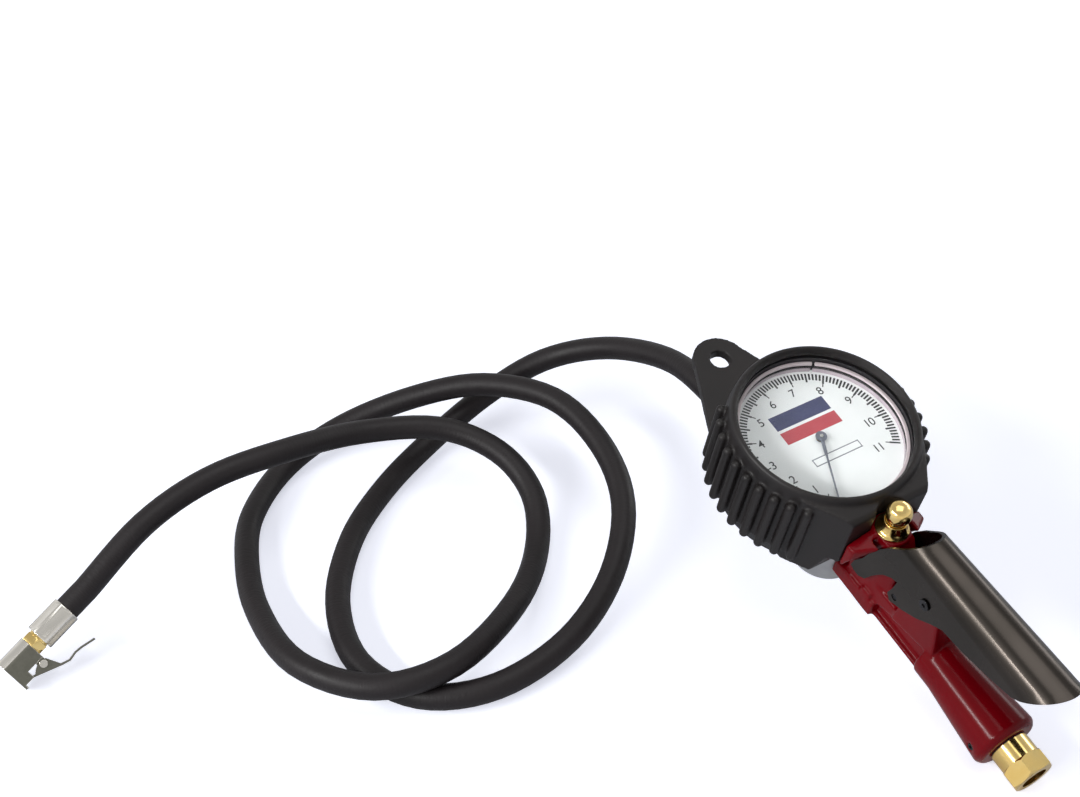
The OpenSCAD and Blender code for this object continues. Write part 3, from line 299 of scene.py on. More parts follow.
# Brass of the works and the valves, left dull
DULL_BRASS = Finish("brass_stamped", "B8935A", "A98550", Grain.BRUSHED, 0.4, 0.004, 9.0,
                    0.36, 0.48, metallic=1.0)
# Nickel plate over turned metal: warm silver with fine rings
NICKEL = Finish("nickel_plated_turned", "F0ECE4", "E2DED6", Grain.TURNED, 0.5, 0.002, 10.0,
                0.16, 0.26, metallic=1.0)
# Nickel plate over the pressed flats of the chuck, rougher than its turned half; its darker tone is
# a painted reflection of the dim room that the flats face
NICKEL_PAINTED_SHADE = Finish("nickel_plated_painted_shade", "7E7D73", "6C6B62", Grain.CAST, 0.8, 0.01, 4.0,
                     0.30, 0.42, metallic=1.0)
# Turned zinc block, bare: light grey with a dull sheen
ZINC = Finish("zinc_turned", "C3C4C5", "B2B3B5", Grain.TURNED, 0.6, 0.006, 12.0,
              0.34, 0.45, metallic=1.0)
# Plain steel clips and screws
STEEL = Finish("steel_bright_drawn", "9A9B9E", "84868A", Grain.BRUSHED, 0.4, 0.003, 8.0,
               0.28, 0.42, metallic=1.0)
# Blackened steel screws and pins
BLACK_STEEL = Finish("steel_blackened", "2A2A2C", "3A3A3D", Grain.TURNED, 0.5, 0.004, 5.0,
                     0.30, 0.44, metallic=0.8)
# Spring wire
WIRE = Finish("spring_wire_drawn", "8F9196", "77797E", Grain.BRUSHED, 0.3, 0.003, 6.0,
              0.30, 0.44, metallic=1.0)
# Black enamel of the gauge case
CASE = Finish("case_enamel_black", "1C1C1E", "232326", Grain.CAST, 1.2, 0.01, 20.0, 0.35, 0.45)
# Moulded nitrile rubber of the boot: satin charcoal, a faint bloom and a fine mould texture
BOOT_RUBBER = Finish("nitrile_rubber_moulded", "1A1717", "211D1D", Grain.MOULDED, 0.7, 0.02, 26.0,
                     0.42, 0.52, specular=0.35)
# Rubber hose cured in wrapping tape: fine cross wrinkles all round
HOSE_RUBBER = Finish("hose_rubber_wrapped", "171214", "1D181A", Grain.WRAPPED, 1.1, 0.16, 18.0,
                     0.46, 0.58, specular=0.35)
# Soft black seals
SEAL_RUBBER = Finish("seal_rubber_moulded", "1B1B1C", "222223", Grain.MOULDED, 0.5, 0.01, 6.0,
                     0.55, 0.65)
# Matt white dial paint on aluminium
DIAL_WHITE = Finish("dial_paint_white", "F4F4F2", "EEEEEC", Grain.CAST, 0.5, 0.002, 18.0,
                    0.55, 0.62)
# White moulded ring that holds the window, a little pink where light comes through it
RING_WHITE = Finish("acetal_ring_moulded", "EEE2E4", "E4D6DA", Grain.MOULDED, 0.8, 0.004, 12.0,
                    0.30, 0.38)
# White moulded ring between the dial and the window, its tone painted greyish mauve as painted
# shade for the shadow it lies in under the window's rim
RING_PAINTED_SHADE = Finish("acetal_ring_painted_shade", "BDAFB5", "B0A2A9", Grain.MOULDED, 0.8, 0.004, 12.0,
                    0.34, 0.42)
# Black, blue, red and grey screen inks of the dial
INK_BLACK = Finish("screen_ink_black", "131316", "1C1C20", Grain.PRINTED, 0.4, 0.002, 6.0,
                   0.50, 0.60)
INK_BLUE = Finish("screen_ink_blue", "33375F", "3A3E67", Grain.PRINTED, 0.4, 0.002, 8.0,
                  0.45, 0.55)
INK_RED = Finish("screen_ink_red", "B83A45", "BF464F", Grain.PRINTED, 0.4, 0.002, 8.0,
                 0.45, 0.55)
INK_GREY = Finish("screen_ink_grey", "6A6A74", "777781", Grain.PRINTED, 0.4, 0.002, 8.0,
                  0.45, 0.55)
# Grey enamel of the pointer
POINTER_GREY = Finish("pointer_enamel_grey", "666974", "70737E", Grain.CAST, 0.6, 0.002, 8.0,
                      0.35, 0.45, metallic=0.3)
# Sintered bronze of the filter
SINTERED = Finish("bronze_sintered", "9C8358", "7D683F", Grain.CAST, 0.35, 0.05, 3.0,
                  0.55, 0.70, metallic=1.0)


def mesh_of(bm: bmesh.types.BMesh, name: str, place: Matrix | None = None) -> bpy.types.Mesh:
    """Turn a bmesh into a mesh in the shared frame and free it.

    Args:
        bm: Shape to keep.
        name: Name of the mesh.
        place: Frame that it was drawn in, or None if it is in metres already.

    Returns:
        The mesh.
    """
    if place is not None:
        bmesh.ops.transform(bm, matrix=place, verts=bm.verts)
    mesh = bpy.data.meshes.new(name)
    bm.to_mesh(mesh)
    bm.free()
    return mesh


def put(mesh: bpy.types.Mesh, finish: Finish | Window, node: str | None = None,
        smooth: float = SHARP) -> bpy.types.Object:
    """Make a dressed piece of a finished mesh.

    Args:
        mesh: Mesh in the shared frame.
        finish: What it is made of.
        node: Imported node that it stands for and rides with, or None if it stands for none and
            rides on the tool.
        smooth: Angle between faces over which an edge stays crisp, in radians.

    Returns:
        The piece.
    """
    piece = new_object(mesh.name, mesh)
    mesh.materials.append(finish.build())
    mesh.shade_smooth()
    mesh.set_sharp_from_angle(angle=smooth)
    body = frame["nodes"][node]["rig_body"] if node else ROOT
    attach(piece, body)
    if node:
        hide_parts(node)
    LOG.info("%s: %d faces on %s", piece.name, len(mesh.polygons), body)
    return piece


def copy_of(node: str) -> bmesh.types.BMesh:
    """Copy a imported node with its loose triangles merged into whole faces.

    Args:
        node: Name of the node.

    Returns:
        The copy, in metres.
    """
    bm = bmesh.new()
    bm.from_mesh(frame["nodes"][node].data)
    bmesh.ops.remove_doubles(bm, verts=bm.verts, dist=WELD)
    bmesh.ops.dissolve_limit(bm, angle_limit=FLAT, verts=bm.verts, edges=bm.edges)
    return bm


def round_edges(bm: bmesh.types.BMesh, width: float) -> None:
    """Round every sharp edge in two steps.

    Args:
        bm: Shape to round, in metres.
        width: Width of the rounding, in millimetres.
    """
    edges = [e for e in bm.edges if e.is_manifold and e.calc_face_angle(0.0) > SHARP]
    bmesh.ops.bevel(bm, geom=edges, offset=width * MM, offset_type="OFFSET", segments=2,
                    profile=0.5, affect="EDGES", material=-1, clamp_overlap=True)


def refined(node: str, finish: Finish | Window, edge: float) -> bpy.types.Object:
    """Stand a rounded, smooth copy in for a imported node.

    Args:
        node: Name of the node.
        finish: What it is made of.
        edge: Width of its rounded edges, or 0 for none.

    Returns:
        The piece.
    """
    bm = copy_of(node)
    if edge:
        round_edges(bm, edge)
    piece = put(mesh_of(bm, node + "_finished"), finish, node)
    flats = piece.modifiers.new("flats", "WEIGHTED_NORMAL")
    flats.keep_sharp = True
    return piece


def moulded(node: str, finish: Finish, voxel: float, passes: int,
            name: str, more: bmesh.types.BMesh | None = None) -> bpy.types.Object:
    """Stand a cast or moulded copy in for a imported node, with every edge and corner softened.

    Args:
        node: Name of the node.
        finish: What it is made of.
        voxel: Size of the remeshed faces, in millimetres.
        passes: Times that its corners are eased.
        name: Name of the piece.
        more: Closed shapes that grow into it, in metres.

    Returns:
        The piece.
    """
    shape = copy_of(node)
    if more:
        grown = mesh_of(more, name + "_more")
        shape.from_mesh(grown)
        bpy.data.meshes.remove(grown)
    draft = new_object(name + "_draft", mesh_of(shape, name + "_draft"))
    remesh = draft.modifiers.new("remesh", "REMESH")
    remesh.mode = "VOXEL"
    remesh.voxel_size = voxel * MM
    bm = bmesh.new()
    bm.from_object(draft, bpy.context.evaluated_depsgraph_get())
    bpy.data.objects.remove(draft)
    for _ in range(passes):
        bmesh.ops.smooth_vert(bm, verts=bm.verts, factor=EASE, use_axis_x=True, use_axis_y=True,
                              use_axis_z=True)
    return put(mesh_of(bm, name), finish, node, SOFT)


def dress(node: str, finish: Finish) -> bpy.types.Object:
    """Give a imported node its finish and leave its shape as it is.

    Args:
        node: Name of the node.
        finish: What it is made of.

    Returns:
        The node.
    """
    piece = frame["nodes"][node]
    piece.data.materials.clear()
    piece.data.materials.append(finish.build())
    LOG.info("%s: %s", node, finish.name)
    return piece


@dataclass(frozen=True)
class Lamp:
    """Soft box.

    Args:
        name: Name of the lamp.
        place: Where it hangs, in metres.
        aim: Point that it faces, in metres.
        size: Width and height of its face, in metres.
        watts: Its power.
    """

    name: str
    place: tuple[float, float, float]
    aim: tuple[float, float, float]
    size: tuple[float, float]
    watts: float

    def build(self) -> None:
        """Hang the lamp, out of the camera's sight."""
        data = bpy.data.lights.new(self.name, "AREA")
        data.shape = "RECTANGLE"
        data.size, data.size_y = self.size
        data.energy = self.watts
        lamp = new_object(self.name, data)
        lamp.location = self.place
        way = Vector(self.aim) - Vector(self.place)
        lamp.rotation_euler = way.to_track_quat("-Z", "Y").to_euler()
        lamp.visible_camera = False


@dataclass
class Studio:
    """White sweep, soft lamps and the camera.

    Args:
        camera_at: Where the camera stands, in metres.
        camera_turn: Its Euler angles, in degrees.
        lens: Its focal length.
        sensor: Width of its sensor.
        near: Nearest distance that it sees, in metres.
        floor_size: Side of the square floor, in metres.
        floor_tone: sRGB hex of the paper.
        fibre: Size of the paper's fibres, in metres.
        fibre_deep: Their depth, in metres.
        glow_tone: sRGB hex of the light that the camera sees on the floor, over the lamps' own.
        glow: Its strength near the tool.
        far_glow: Its strength far from the tool.
        glow_rise: Distances between which it rises, in metres.
        room: Strength of the room's light on what stands in it.
        room_tone: Its colour, as linear light.
        wall_low: Strength of the walls near the floor, as polished surfaces mirror them.
        wall_high: Their strength near the ceiling.
        wall_rise: Heights between which they fade, as the Z of a direction of length 1.
        lamps: A long strip at the left, a wide box overhead and a card at the right.
    """

    camera_at: tuple[float, float, float] = (-0.389685, -0.40616, 0.565508)
    camera_turn: tuple[float, float, float] = (52.310204, 2.515619, -31.423693)
    lens: float = 56.4
    sensor: float = 36.0
    near: float = 0.01
    floor_size: float = 12.0
    floor_tone: str = "E6E9F0"
    fibre: float = 0.0025
    fibre_deep: float = 0.0001
    glow_tone: str = "F1F3FF"
    glow: float = 0.66
    far_glow: float = 1.0
    glow_rise: tuple[float, float] = (0.5, 1.6)
    room: float = 0.09
    room_tone: tuple[float, float, float, float] = (0.98, 0.98, 1.0, 1.0)
    wall_low: float = 0.85
    wall_high: float = 0.5
    wall_rise: tuple[float, float] = (0.1, 0.7)
    lamps: Sequence[Lamp] = (
        Lamp("key", (-1.4, 0.0, 0.88), (0.0, 0.0, 0.0), (1.5, 0.13), 19.0),
        Lamp("top", (0.1, -0.1, 1.8), (0.0, 0.0, 0.0), (1.4, 1.4), 10.0),
        Lamp("right", (1.4, 0.25, 0.5), (0.0, 0.0, 0.05), (1.2, 0.35), 4.0))

    def camera(self) -> None:
        """Stand the camera at its measured place."""
        data = bpy.data.cameras.new("camera")
        data.sensor_fit = "HORIZONTAL"
        data.sensor_width = self.sensor
        data.lens = self.lens
        data.clip_start = self.near
        camera = new_object("camera", data)
        camera.location = self.camera_at
        camera.rotation_euler = [math.radians(a) for a in self.camera_turn]
        bpy.context.scene.camera = camera

    def paper(self) -> bpy.types.Material:
        """Make the paper of the floor, which the camera sees as white outside the shadows.

        Returns:
            The material.
        """
        made = bpy.data.materials.new("paper_sweep")
        tree = blank(made)
        place = add(tree, "TexCoord")
        fibre = add(tree, "TexNoise", {"Scale": 1 / self.fibre, "Detail": 2.0},
                    {"Vector": place.outputs["Object"]})
        bump = add(tree, "Bump", {"Strength": 0.1, "Distance": self.fibre_deep},
                   {"Height": fibre.outputs["Fac"]})
        paper = add(tree, "BsdfPrincipled", {"Base Color": linear(self.floor_tone),
                                             "Roughness": 0.8, "Specular IOR Level": 0.2},
                    {"Normal": bump.outputs[0]})
        away = add(tree, "VectorMath", {"operation": "LENGTH"}, {0: place.outputs["Object"]})
        rise = mapped(tree, away.outputs["Value"], self.glow_rise, (self.glow, self.far_glow))
        glow = add(tree, "Emission", {"Color": linear(self.glow_tone)}, {"Strength": rise})
        both = add(tree, "AddShader", links={0: paper.outputs[0], 1: glow.outputs[0]})
        path = add(tree, "LightPath")
        seen = add(tree, "MixShader", links={"Fac": path.outputs["Is Camera Ray"],
                                             1: paper.outputs[0], 2: both.outputs[0]})
        add(tree, "OutputMaterial", links={"Surface": seen.outputs[0]})
        return made

    def floor(self) -> None:
        """Lay the pale floor."""
        bm = bmesh.new()
        bmesh.ops.create_grid(bm, x_segments=1, y_segments=1, size=self.floor_size / 2)
        floor = new_object("floor", mesh_of(bm, "floor"))
        floor.data.materials.append(self.paper())

    def walls(self) -> None:
        """Put the tool in a dim room, whose walls are bright in mirrors and white to the camera."""
        world = bpy.data.worlds.new("room")
        tree = blank(world)
        room = add(tree, "Background", {"Color": self.room_tone, "Strength": self.room})
        white = add(tree, "Background", {"Color": WHITE, "Strength": 1.0})
        place = add(tree, "TexCoord")
        height = add(tree, "SeparateXYZ", links={0: place.outputs["Generated"]})
        fade = mapped(tree, height.outputs["Z"], self.wall_rise, (self.wall_low, self.wall_high))
        walls = add(tree, "Background", {"Color": WHITE}, {"Strength": fade})
        path = add(tree, "LightPath")
        mirror = add(tree, "Math", {"operation": "MAXIMUM"},
                     {0: path.outputs["Is Glossy Ray"], 1: path.outputs["Is Transmission Ray"]})
        around = add(tree, "MixShader", links={"Fac": mirror.outputs[0],
                                               1: room.outputs[0], 2: walls.outputs[0]})
        seen = add(tree, "MixShader", links={"Fac": path.outputs["Is Camera Ray"],
                                             1: around.outputs[0], 2: white.outputs[0]})
        add(tree, "OutputWorld", links={"Surface": seen.outputs[0]})
        bpy.context.scene.world = world
        bpy.context.scene.view_settings.view_transform = "Standard"

    def build(self) -> None:
        """Set up the camera, the floor, the lamps and the room."""
        self.camera()
        self.floor()
        for lamp in self.lamps:
            lamp.build()
        self.walls()


@dataclass
class Hose:
    """Rubber air hose, laid in two open loops from the gauge to the chuck.

    Args:
        diameter: Outer diameter.
        sides: Faces round it.
        steps: Rings from one point of the route to the next.
        start: Where it enters the gauge's ferrule, in the tool's frame.
        route: Points that its centreline passes on the table.
    """

    diameter: float = 12.0
    sides: int = 28
    steps: int = 6
    start: tuple[float, float, float] = (0.0, 22.4, -47.0)
    route: Sequence[tuple[float, float, float]] = (
        (1, 118, 64), (3, 157, 59), (-8, 196, 47), (-32, 221, 34), (-66, 227, 21),
        (-104, 221, 10), (-138, 205, 7), (-169, 180, 7), (-194, 144, 7), (-203, 104, 7),
        (-189, 72, 6), (-158, 56, 8), (-118, 60, 11), (-81, 81, 15), (-55, 110, 25),
        (-45, 145, 34), (-49, 183, 40), (-71, 216, 38), (-101, 238, 29), (-137, 253, 16),
        (-172, 249, 8), (-201, 226, 7), (-217, 198, 7), (-228, 160, 8), (-229, 112, 15),
        (-207, 78, 17), (-171, 70, 18), (-128, 92, 12), (-97, 123, 7), (-82, 151, 15),
        (-85, 179, 25), (-105, 203, 33), (-143, 216, 39), (-186, 211, 50), (-224, 212, 50),
        (-260, 205, 45))

    def knots(self) -> list[Vector]:
        """Return the route's points in metres, from the gauge's ferrule to the chuck."""
        first = TOOL @ Vector(self.start)
        second = TOOL @ (Vector(self.start) + Vector((0.0, self.diameter, 0.0)))
        back = CHUCK_TURN @ Vector((self.diameter, 0.0, 0.0))
        return [first, second, *(Vector(p) * MM for p in self.route),
                (CHUCK_AT - back) * MM, CHUCK_AT * MM]

    def path(self) -> list[Vector]:
        """Return the smooth centreline through the knots, which never sinks into the table."""
        knots = self.knots()
        ends = [2 * knots[0] - knots[1], *knots, 2 * knots[-1] - knots[-2]]
        points = [knots[0]]
        for i in range(1, len(knots) - 2):
            a, b, c, d = ends[i:i + 4]
            for k in range(self.steps):
                t = k / self.steps
                p = 0.5 * (2 * b + (c - a) * t + (2 * a - 5 * b + 4 * c - d) * t * t
                           + (3 * b - a - 3 * c + d) * t ** 3)
                p.z = max(p.z, self.diameter / 2 * MM)
                points.append(p)
        return [*points, knots[-2], knots[-1]]

    def unroll(self, bm: bmesh.types.BMesh, turn: bmesh.types.BMLayerItem,
               along: bmesh.types.BMLayerItem, uv: bmesh.types.BMLayerItem) -> None:
        """Lay the wall out flat: U runs round the hose and V along it, in millimetres.

        Args:
            bm: Wall of the hose.
            turn: Layer with each corner's number in its ring.
            along: Layer with each corner's distance from the start.
            uv: Layer that gets the result.
        """
        around = math.pi * self.diameter
        for face in bm.faces:
            turns = [loop.vert[turn] for loop in face.loops]
            wraps = max(turns) - min(turns) > self.sides / 2
            for loop, k in zip(face.loops, turns):
                k = k + self.sides if wraps and k < self.sides / 2 else k
                loop[uv].uv = (k / self.sides * around, loop.vert[along])

    def tube(self, path: list[Vector]) -> bmesh.types.BMesh:
        """Sweep a ring along the centreline and close both ends.

        Args:
            path: Centreline.

        Returns:
            The hose.
        """
        bm = bmesh.new()
        uv = bm.loops.layers.uv.new("wrap")
        along = bm.verts.layers.float.new("along")
        turn = bm.verts.layers.float.new("turn")
        radius = self.diameter / 2 * MM
        ring = bmesh.ops.create_circle(bm, segments=self.sides, radius=radius)["verts"]
        for k, vert in enumerate(ring):
            vert[turn] = k
        edges = list({e for v in ring for e in v.link_edges})
        frame_now = Matrix.Identity(4)
        run = 0.0
        for i, point in enumerate(path):
            ahead = path[min(i + 1, len(path) - 1)] - path[max(i - 1, 0)]
            ahead.normalize()
            side = ahead.cross(Vector((0.0, 0.0, 1.0))).normalized()
            turned = Matrix((side, side.cross(ahead) * -1.0, ahead)).transposed().to_4x4()
            frame_next = Matrix.Translation(point) @ turned
            if i:
                run += (point - path[i - 1]).length
                grown = bmesh.ops.extrude_edge_only(bm, edges=edges)["geom"]
                ring = [g for g in grown if isinstance(g, bmesh.types.BMVert)]
                edges = [g for g in grown if isinstance(g, bmesh.types.BMEdge)
                         and g.verts[0] in ring and g.verts[1] in ring]
            bmesh.ops.transform(bm, matrix=frame_next @ frame_now.inverted(), verts=ring)
            for vert in ring:
                vert[along] = run / MM
            frame_now = frame_next
        self.unroll(bm, turn, along, uv)
        bmesh.ops.holes_fill(bm, edges=[e for e in bm.edges if e.is_boundary])
        bmesh.ops.recalc_face_normals(bm, faces=bm.faces)
        return bm

    def build(self, chuck: Sequence[bpy.types.Object]) -> None:
        """Args:
            chuck: Pieces of the chuck that hangs on its end; not used.
        """
        path = self.path()
        hose = put(mesh_of(self.tube(path), "hose_rubber"), HOSE_RUBBER, "hose")


@dataclass
class Dial:
    """Printed face of the gauge: scale, upright numerals and three bare plates.

    Args:
        outer: Distance of the ticks' outer ends from the centre.
        long_in: Distance of the inner ends at whole units.
        half_in: Distance of the inner ends at half units.
        short_in: Distance of the other inner ends.
        ticks: Ticks to each unit.
        tick: Width of a tick.
        fine_tick: Width of the fine inner half of a whole unit's tick.
        overlap: How far that half runs into the wide one.
        lift: How far it lies above the dial, so that no faces coincide.
        ink: Thickness of the ink.
        first_at: Direction of the first tick, in degrees from +X.
        per_unit: Degrees from one whole unit to the next.
        numeral_h: Height of a numeral.
        type_size: Type size that gives a numeral a height of 1.
        spacing: Room between two digits, 1 for the usual.
        bold: Growth of the strokes.
        numerals_at: Middle of each numeral, from 1 upwards.
        plates: Name, left, lower, right and upper side, and ink of each plate.
        outline: Width of the last plate's outline.
    """

    outer: float = 36.3
    long_in: float = 29.5
    half_in: float = 31.4
    short_in: float = 32.8
    ticks: int = 10
    tick: float = 0.9
    fine_tick: float = 0.5
    overlap: float = 0.2
    lift: float = 0.005
    ink: float = 0.04
    first_at: float = 240.0
    per_unit: float = 27.0
    numeral_h: float = 4.3
    type_size: float = 1.38
    spacing: float = 0.92
    bold: float = 0.02
    numerals_at: Sequence[tuple[float, float]] = (
        (-18.4, -21.0), (-24.3, -12.5), (-27.8, -2.4), (-26.0, 9.3), (-19.2, 18.9), (-8.4, 24.9),
        (3.8, 26.2), (16.0, 21.8), (24.8, 11.5), (26.2, -2.7), (21.0, -15.7))
    plates: Sequence[tuple[str, float, float, float, float, Finish]] = (
        ("blue", -15.1, 11.5, 14.8, 19.2, INK_BLUE), ("red", -15.1, 3.4, 15.2, 10.0, INK_RED),
        ("grey", -10.7, -12.0, 14.9, -7.9, INK_GREY))
    outline: float = 0.5

    def bar(self, bm: bmesh.types.BMesh, turn: float, x0: float, x1: float, y0: float, y1: float,
            rise: float = 0.0) -> None:
        """Add one flat inked rectangle.

        Args:
            bm: Shape that it is added to.
            turn: Direction of its own X, in radians.
            x0: Its start along that direction.
            x1: Its end.
            y0: Its lower side.
            y1: Its upper side.
            rise: How far it lies above the dial.
        """
        middle = ((x0 + x1) / 2, (y0 + y1) / 2, rise + self.ink / 2)
        place = (Matrix.Rotation(turn, 4, "Z") @ Matrix.Translation(middle)
                 @ Matrix.Diagonal((x1 - x0, y1 - y0, self.ink, 1.0)))
        bmesh.ops.create_cube(bm, size=1.0, matrix=place)

    def scale(self) -> None:
        """Print the ticks, the long ones finer toward the centre."""
        bm = bmesh.new()
        for i in range(self.ticks * (len(self.numerals_at) - 1) + 1):
            turn = math.radians(self.first_at - self.per_unit * i / self.ticks)
            inner = self.half_in if i % (self.ticks // 2) == 0 else self.short_in
            self.bar(bm, turn, inner, self.outer, -self.tick / 2, self.tick / 2)
            if i % self.ticks == 0:
                self.bar(bm, turn, self.long_in, self.half_in + self.overlap,
                         -self.fine_tick / 2, self.fine_tick / 2, self.lift)
        put(mesh_of(bm, "dial_scale", TOOL), INK_BLACK)

    def numeral(self, value: int, x: float, y: float) -> bpy.types.Mesh:
        """Draw one numeral.

        Args:
            value: The number.
            x: Where its middle lies, across the dial.
            y: Where its middle lies, up the dial.

        Returns:
            The numeral.
        """
        text = bpy.data.curves.new("numeral", "FONT")
        text.body = str(value)
        text.size = self.numeral_h * self.type_size
        text.space_character = self.spacing
        text.extrude = self.ink / 2
        text.offset = self.bold
        holder = new_object("numeral", text)
        depsgraph = bpy.context.evaluated_depsgraph_get()
        mesh = bpy.data.meshes.new_from_object(holder.evaluated_get(depsgraph))
        bpy.data.objects.remove(holder)
        low, high = (Vector([pick(v.co[i] for v in mesh.vertices) for i in range(3)])
                     for pick in (min, max))
        mesh.transform(Matrix.Translation(Vector((x, y, self.ink / 2)) - (low + high) / 2))
        return mesh

    def numerals(self) -> None:
        """Print the numerals at their places."""
        bm = bmesh.new()
        for value, (x, y) in enumerate(self.numerals_at, 1):
            mesh = self.numeral(value, x, y)
            bm.from_mesh(mesh)
            bpy.data.meshes.remove(mesh)
        put(mesh_of(bm, "dial_numerals", TOOL), INK_BLACK)

    def bare_plates(self) -> None:
        """Print the plates with nothing on them, the last one as an outline."""
        for name, left, low, right, high, finish in self.plates:
            bm = bmesh.new()
            self.bar(bm, 0.0, left, right, low, high)
            put(mesh_of(bm, f"dial_plate_{name}", TOOL), finish)
        _, left, low, right, high, _ = self.plates[-1]
        line = self.outline
        bm = bmesh.new()
        self.bar(bm, 0.0, left + line, right - line, low + line, high - line, self.ink / 2)
        put(mesh_of(bm, "dial_plate_inner", TOOL), DIAL_WHITE)

    def build(self) -> None:
        """Print the whole dial."""
        self.scale()
        self.numerals()
        self.bare_plates()


@dataclass
class Gauge:
    """Gauge in its rubber boot.

    Args:
        rib_at: Distance of a grip rib's middle from the dial's axis.
        rib_r: Radius of a rib.
        rib_low: Height of the middle of its lower dome.
        rib_high: Height of the middle of its upper dome.
        rib_first: Angle of the first rib from the hanging eye, in degrees.
        rib_pitch: Degrees from one rib to the next.
        ribs: Ribs on each side.
        dome_sides: Faces round a dome.
        dome_rings: Faces from its one pole to the other.
        voxel: Size of the boot's remeshed faces.
        passes: Times that its corners are eased.
    """

    rib_at: float = 45.6
    rib_r: float = 2.3
    rib_low: float = -26.5
    rib_high: float = 6.1
    rib_first: float = 48.6
    rib_pitch: float = 9.6
    ribs: int = 10
    dome_sides: int = 20
    dome_rings: int = 12
    voxel: float = 0.62
    passes: int = 2

    def rib_ends(self) -> bmesh.types.BMesh:
        """Return the domes that close both ends of every grip rib."""
        bm = bmesh.new()
        for side in (1, -1):
            for i in range(self.ribs):
                a = math.radians(90 + side * (self.rib_first + i * self.rib_pitch))
                for z in (self.rib_low, self.rib_high):
                    place = Matrix.Translation((self.rib_at * math.cos(a),
                                                self.rib_at * math.sin(a), z))
                    bmesh.ops.create_uvsphere(bm, u_segments=self.dome_sides,
                                              v_segments=self.dome_rings, radius=self.rib_r,
                                              matrix=place)
        bmesh.ops.transform(bm, matrix=TOOL, verts=bm.verts)
        return bm

    def build(self) -> None:
        """Dress the boot, the window, its rings and the pointer, and print the dial."""
        moulded("boot", BOOT_RUBBER, self.voxel, self.passes, "boot_skin",
                self.rib_ends())
        refined("dial_plate", DIAL_WHITE, 0.0)
        # The dial ring's grey tone is painted shade on a white ring
        refined("dial_ring", RING_PAINTED_SHADE, 0.1)
        refined("snap_ring", RING_WHITE, 0.3)
        refined("lens_gasket", SEAL_RUBBER, 0.0)
        refined("lens", Window(), 0.0)
        refined("pointer", POINTER_GREY, 0.05)
        refined("pinion_spindle", NICKEL, 0.0)
        Dial().build()


@dataclass
class Handle:
    """Die-cast handle with its lever, button and air inlet, and the fittings at its head.

    Args:
        voxel: Size of the casting's remeshed faces.
        passes: Times that its corners are eased.
    """

    voxel: float = 0.5
    passes: int = 14

    def build(self) -> None:
        """Dress every piece of the handle that shows."""
        moulded("body_casting", ENAMEL, self.voxel, self.passes, "body_enamel")
        refined("lever", ELECTROCOAT, 0.3)
        refined("lever_pivot", BLACK_STEEL, 0.2)
        refined("pivot_clip", STEEL, 0.1)
        refined("push_pin", BLACK_STEEL, 0.2)
        refined("bleed_bush", BRASS, 0.15)
        refined("bleed_button", BRASS, 0.1)
        refined("inlet_connector", BRASS, 0.3)
        refined("inlet_filter", SINTERED, 0.0)
        refined("inlet_seal", SEAL_RUBBER, 0.1)
        refined("retaining_screw", BLACK_STEEL, 0.1)
        refined("mount_block", ZINC, 0.4)
        refined("block_seal", SEAL_RUBBER, 0.1)
        refined("hose_nipple", BRASS, 0.2)
        refined("hose_ferrule", NICKEL, 0.3)


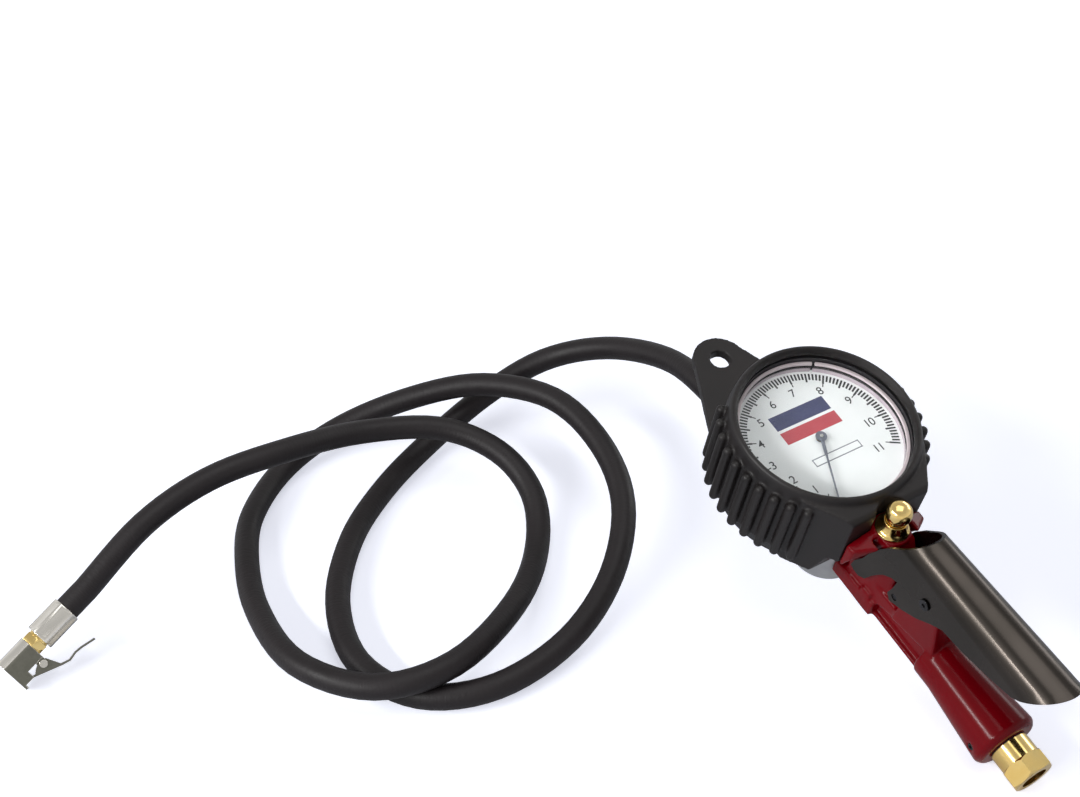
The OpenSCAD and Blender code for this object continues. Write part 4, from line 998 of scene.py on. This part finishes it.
@dataclass
class Chuck:
    """Clip-on tyre chuck at the end of the hose.

    Args:
        ferrule_edge: Width of the ferrule's rounded edges.
        panel_in: Width of the rim round the panel in each of its flats.
        panel_deep: Depth of that panel.
        panel_area: Least area of a flat that has a panel, in square millimetres.
        side_on: Most that a flat's normal points along the hose.
        nipple_edge: Width of the nipple's rounded edges.
        collar_x: Where the middle of its collar lies, from the end of the hose.
        collar_l: Length of the collar.
        collar_r: Radius of the collar.
        collar_sides: Faces round it.
        flat_on: Least that the normal of a pressed flat points across the chuck for the flat to get
            the painted darker reflection.
    """

    ferrule_edge: float = 0.3
    panel_in: float = 1.3
    panel_deep: float = 0.35
    panel_area: float = 40.0
    side_on: float = 0.1
    nipple_edge: float = 0.2
    collar_x: float = 17.85
    collar_l: float = 1.0
    collar_r: float = 4.9
    collar_sides: int = 40
    flat_on: float = 0.97

    def ferrule(self) -> bpy.types.Object:
        """Press a shallow framed panel into each flat of the crimped ferrule.

        Returns:
            The ferrule.
        """
        bm = copy_of("chuck_ferrule")
        round_edges(bm, self.ferrule_edge)
        axis = CHUCK_TURN.col[0].xyz
        flats = [f for f in bm.faces if f.calc_area() > self.panel_area * MM * MM
                 and abs(f.normal.dot(axis)) < self.side_on]
        bmesh.ops.inset_individual(bm, faces=flats, thickness=self.panel_in * MM,
                                   depth=-self.panel_deep * MM, use_even_offset=True)
        return put(mesh_of(bm, "chuck_ferrule_finished"), NICKEL, "chuck_ferrule")

    def nipple(self) -> bpy.types.Object:
        """Give the brass nipple the collar that closes the step behind its hexagon.

        Returns:
            The nipple.
        """
        bm = copy_of("chuck_nipple")
        round_edges(bm, self.nipple_edge)
        place = (CHUCK @ Matrix.Translation((self.collar_x, 0.0, 0.0))
                 @ Matrix.Rotation(math.pi / 2, 4, "Y"))
        bmesh.ops.create_cone(bm, cap_ends=True, segments=self.collar_sides,
                              radius1=self.collar_r, radius2=self.collar_r, depth=self.collar_l,
                              matrix=place)
        return put(mesh_of(bm, "chuck_nipple_finished"), BRASS, "chuck_nipple")

    def stamped(self, node: str, edge: float) -> bpy.types.Object:
        """Plate a piece in nickel, its flat sides rougher and given a darker tone that is painted
        shade.

        Args:
            node: Name of the node.
            edge: Width of its rounded edges.

        Returns:
            The piece.
        """
        piece = refined(node, NICKEL, edge)
        piece.data.materials.append(NICKEL_PAINTED_SHADE.build())
        across = CHUCK_TURN.col[2].xyz
        # Faces that look across the chuck get the darker tone: a painted reflection of the dim room
        # they face
        for face in piece.data.polygons:
            if abs(face.normal.dot(across)) > self.flat_on:
                face.material_index = 1
        return piece

    def build(self) -> list[bpy.types.Object]:
        """Dress every piece of the chuck.

        Returns:
            The pieces that hang on the hose.
        """
        return [self.ferrule(),
                self.nipple(),
                self.stamped("chuck_body", 0.35),
                self.stamped("chuck_clip", 0.12),
                refined("chuck_rivet", NICKEL, 0.2),
                refined("chuck_seal", SEAL_RUBBER, 0.1),
                refined("chuck_pin", BRASS, 0.1),
                dress("chuck_spring", WIRE)]


@dataclass(frozen=True)
class Spring:
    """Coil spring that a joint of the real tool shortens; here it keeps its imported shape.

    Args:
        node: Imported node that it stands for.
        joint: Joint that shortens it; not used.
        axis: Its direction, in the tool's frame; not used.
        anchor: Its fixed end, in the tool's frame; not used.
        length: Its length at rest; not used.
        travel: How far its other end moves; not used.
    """

    node: str
    joint: str
    axis: tuple[float, float, float]
    anchor: tuple[float, float, float]
    length: float
    travel: float

    def build(self) -> None:
        """Stand a copy of the spring in for its node, with a mesh of its own."""
        spring = refined(self.node, WIRE, 0.0)
        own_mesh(spring)


@dataclass
class Works:
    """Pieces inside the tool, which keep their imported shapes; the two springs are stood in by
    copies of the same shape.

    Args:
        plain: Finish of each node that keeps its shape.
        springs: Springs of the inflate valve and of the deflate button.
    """

    plain: Sequence[tuple[Finish, Sequence[str]]] = (
        (DULL_BRASS, ("valve_stem", "valve_gland", "valve_cap", "gauge_socket", "bourdon_tube",
                      "tube_tip", "link", "movement_frame", "sector_gear")),
        (SEAL_RUBBER, ("valve_washer", "bleed_seal")),
        (WIRE, ("hairspring",)),
        (STEEL, ("movement_screws",)),
        (CASE, ("gauge_case",)))
    springs: Sequence[Spring] = (
        Spring("valve_spring", "valve_slide", (0.0, 1.0, 0.0), (0.0, -53.5, -16.0), 6.6, 2.8),
        Spring("bleed_spring", "button_press", (0.0, 0.0, 1.0), (0.0, -52.0, -10.5), 5.7, 2.0))

    def build(self) -> None:
        """Dress each inner node and add the springs."""
        for finish, nodes in self.plain:
            for node in nodes:
                dress(node, finish)
        for spring in self.springs:
            spring.build()


def main() -> None:
    """Build the stage, the hose and then each sub-assembly."""
    logging.basicConfig(level=logging.INFO, format="%(message)s")
    Studio().build()
    Hose().build(Chuck().build())
    Gauge().build()
    Handle().build()
    Works().build()


if __name__ == "__main__":
    main()
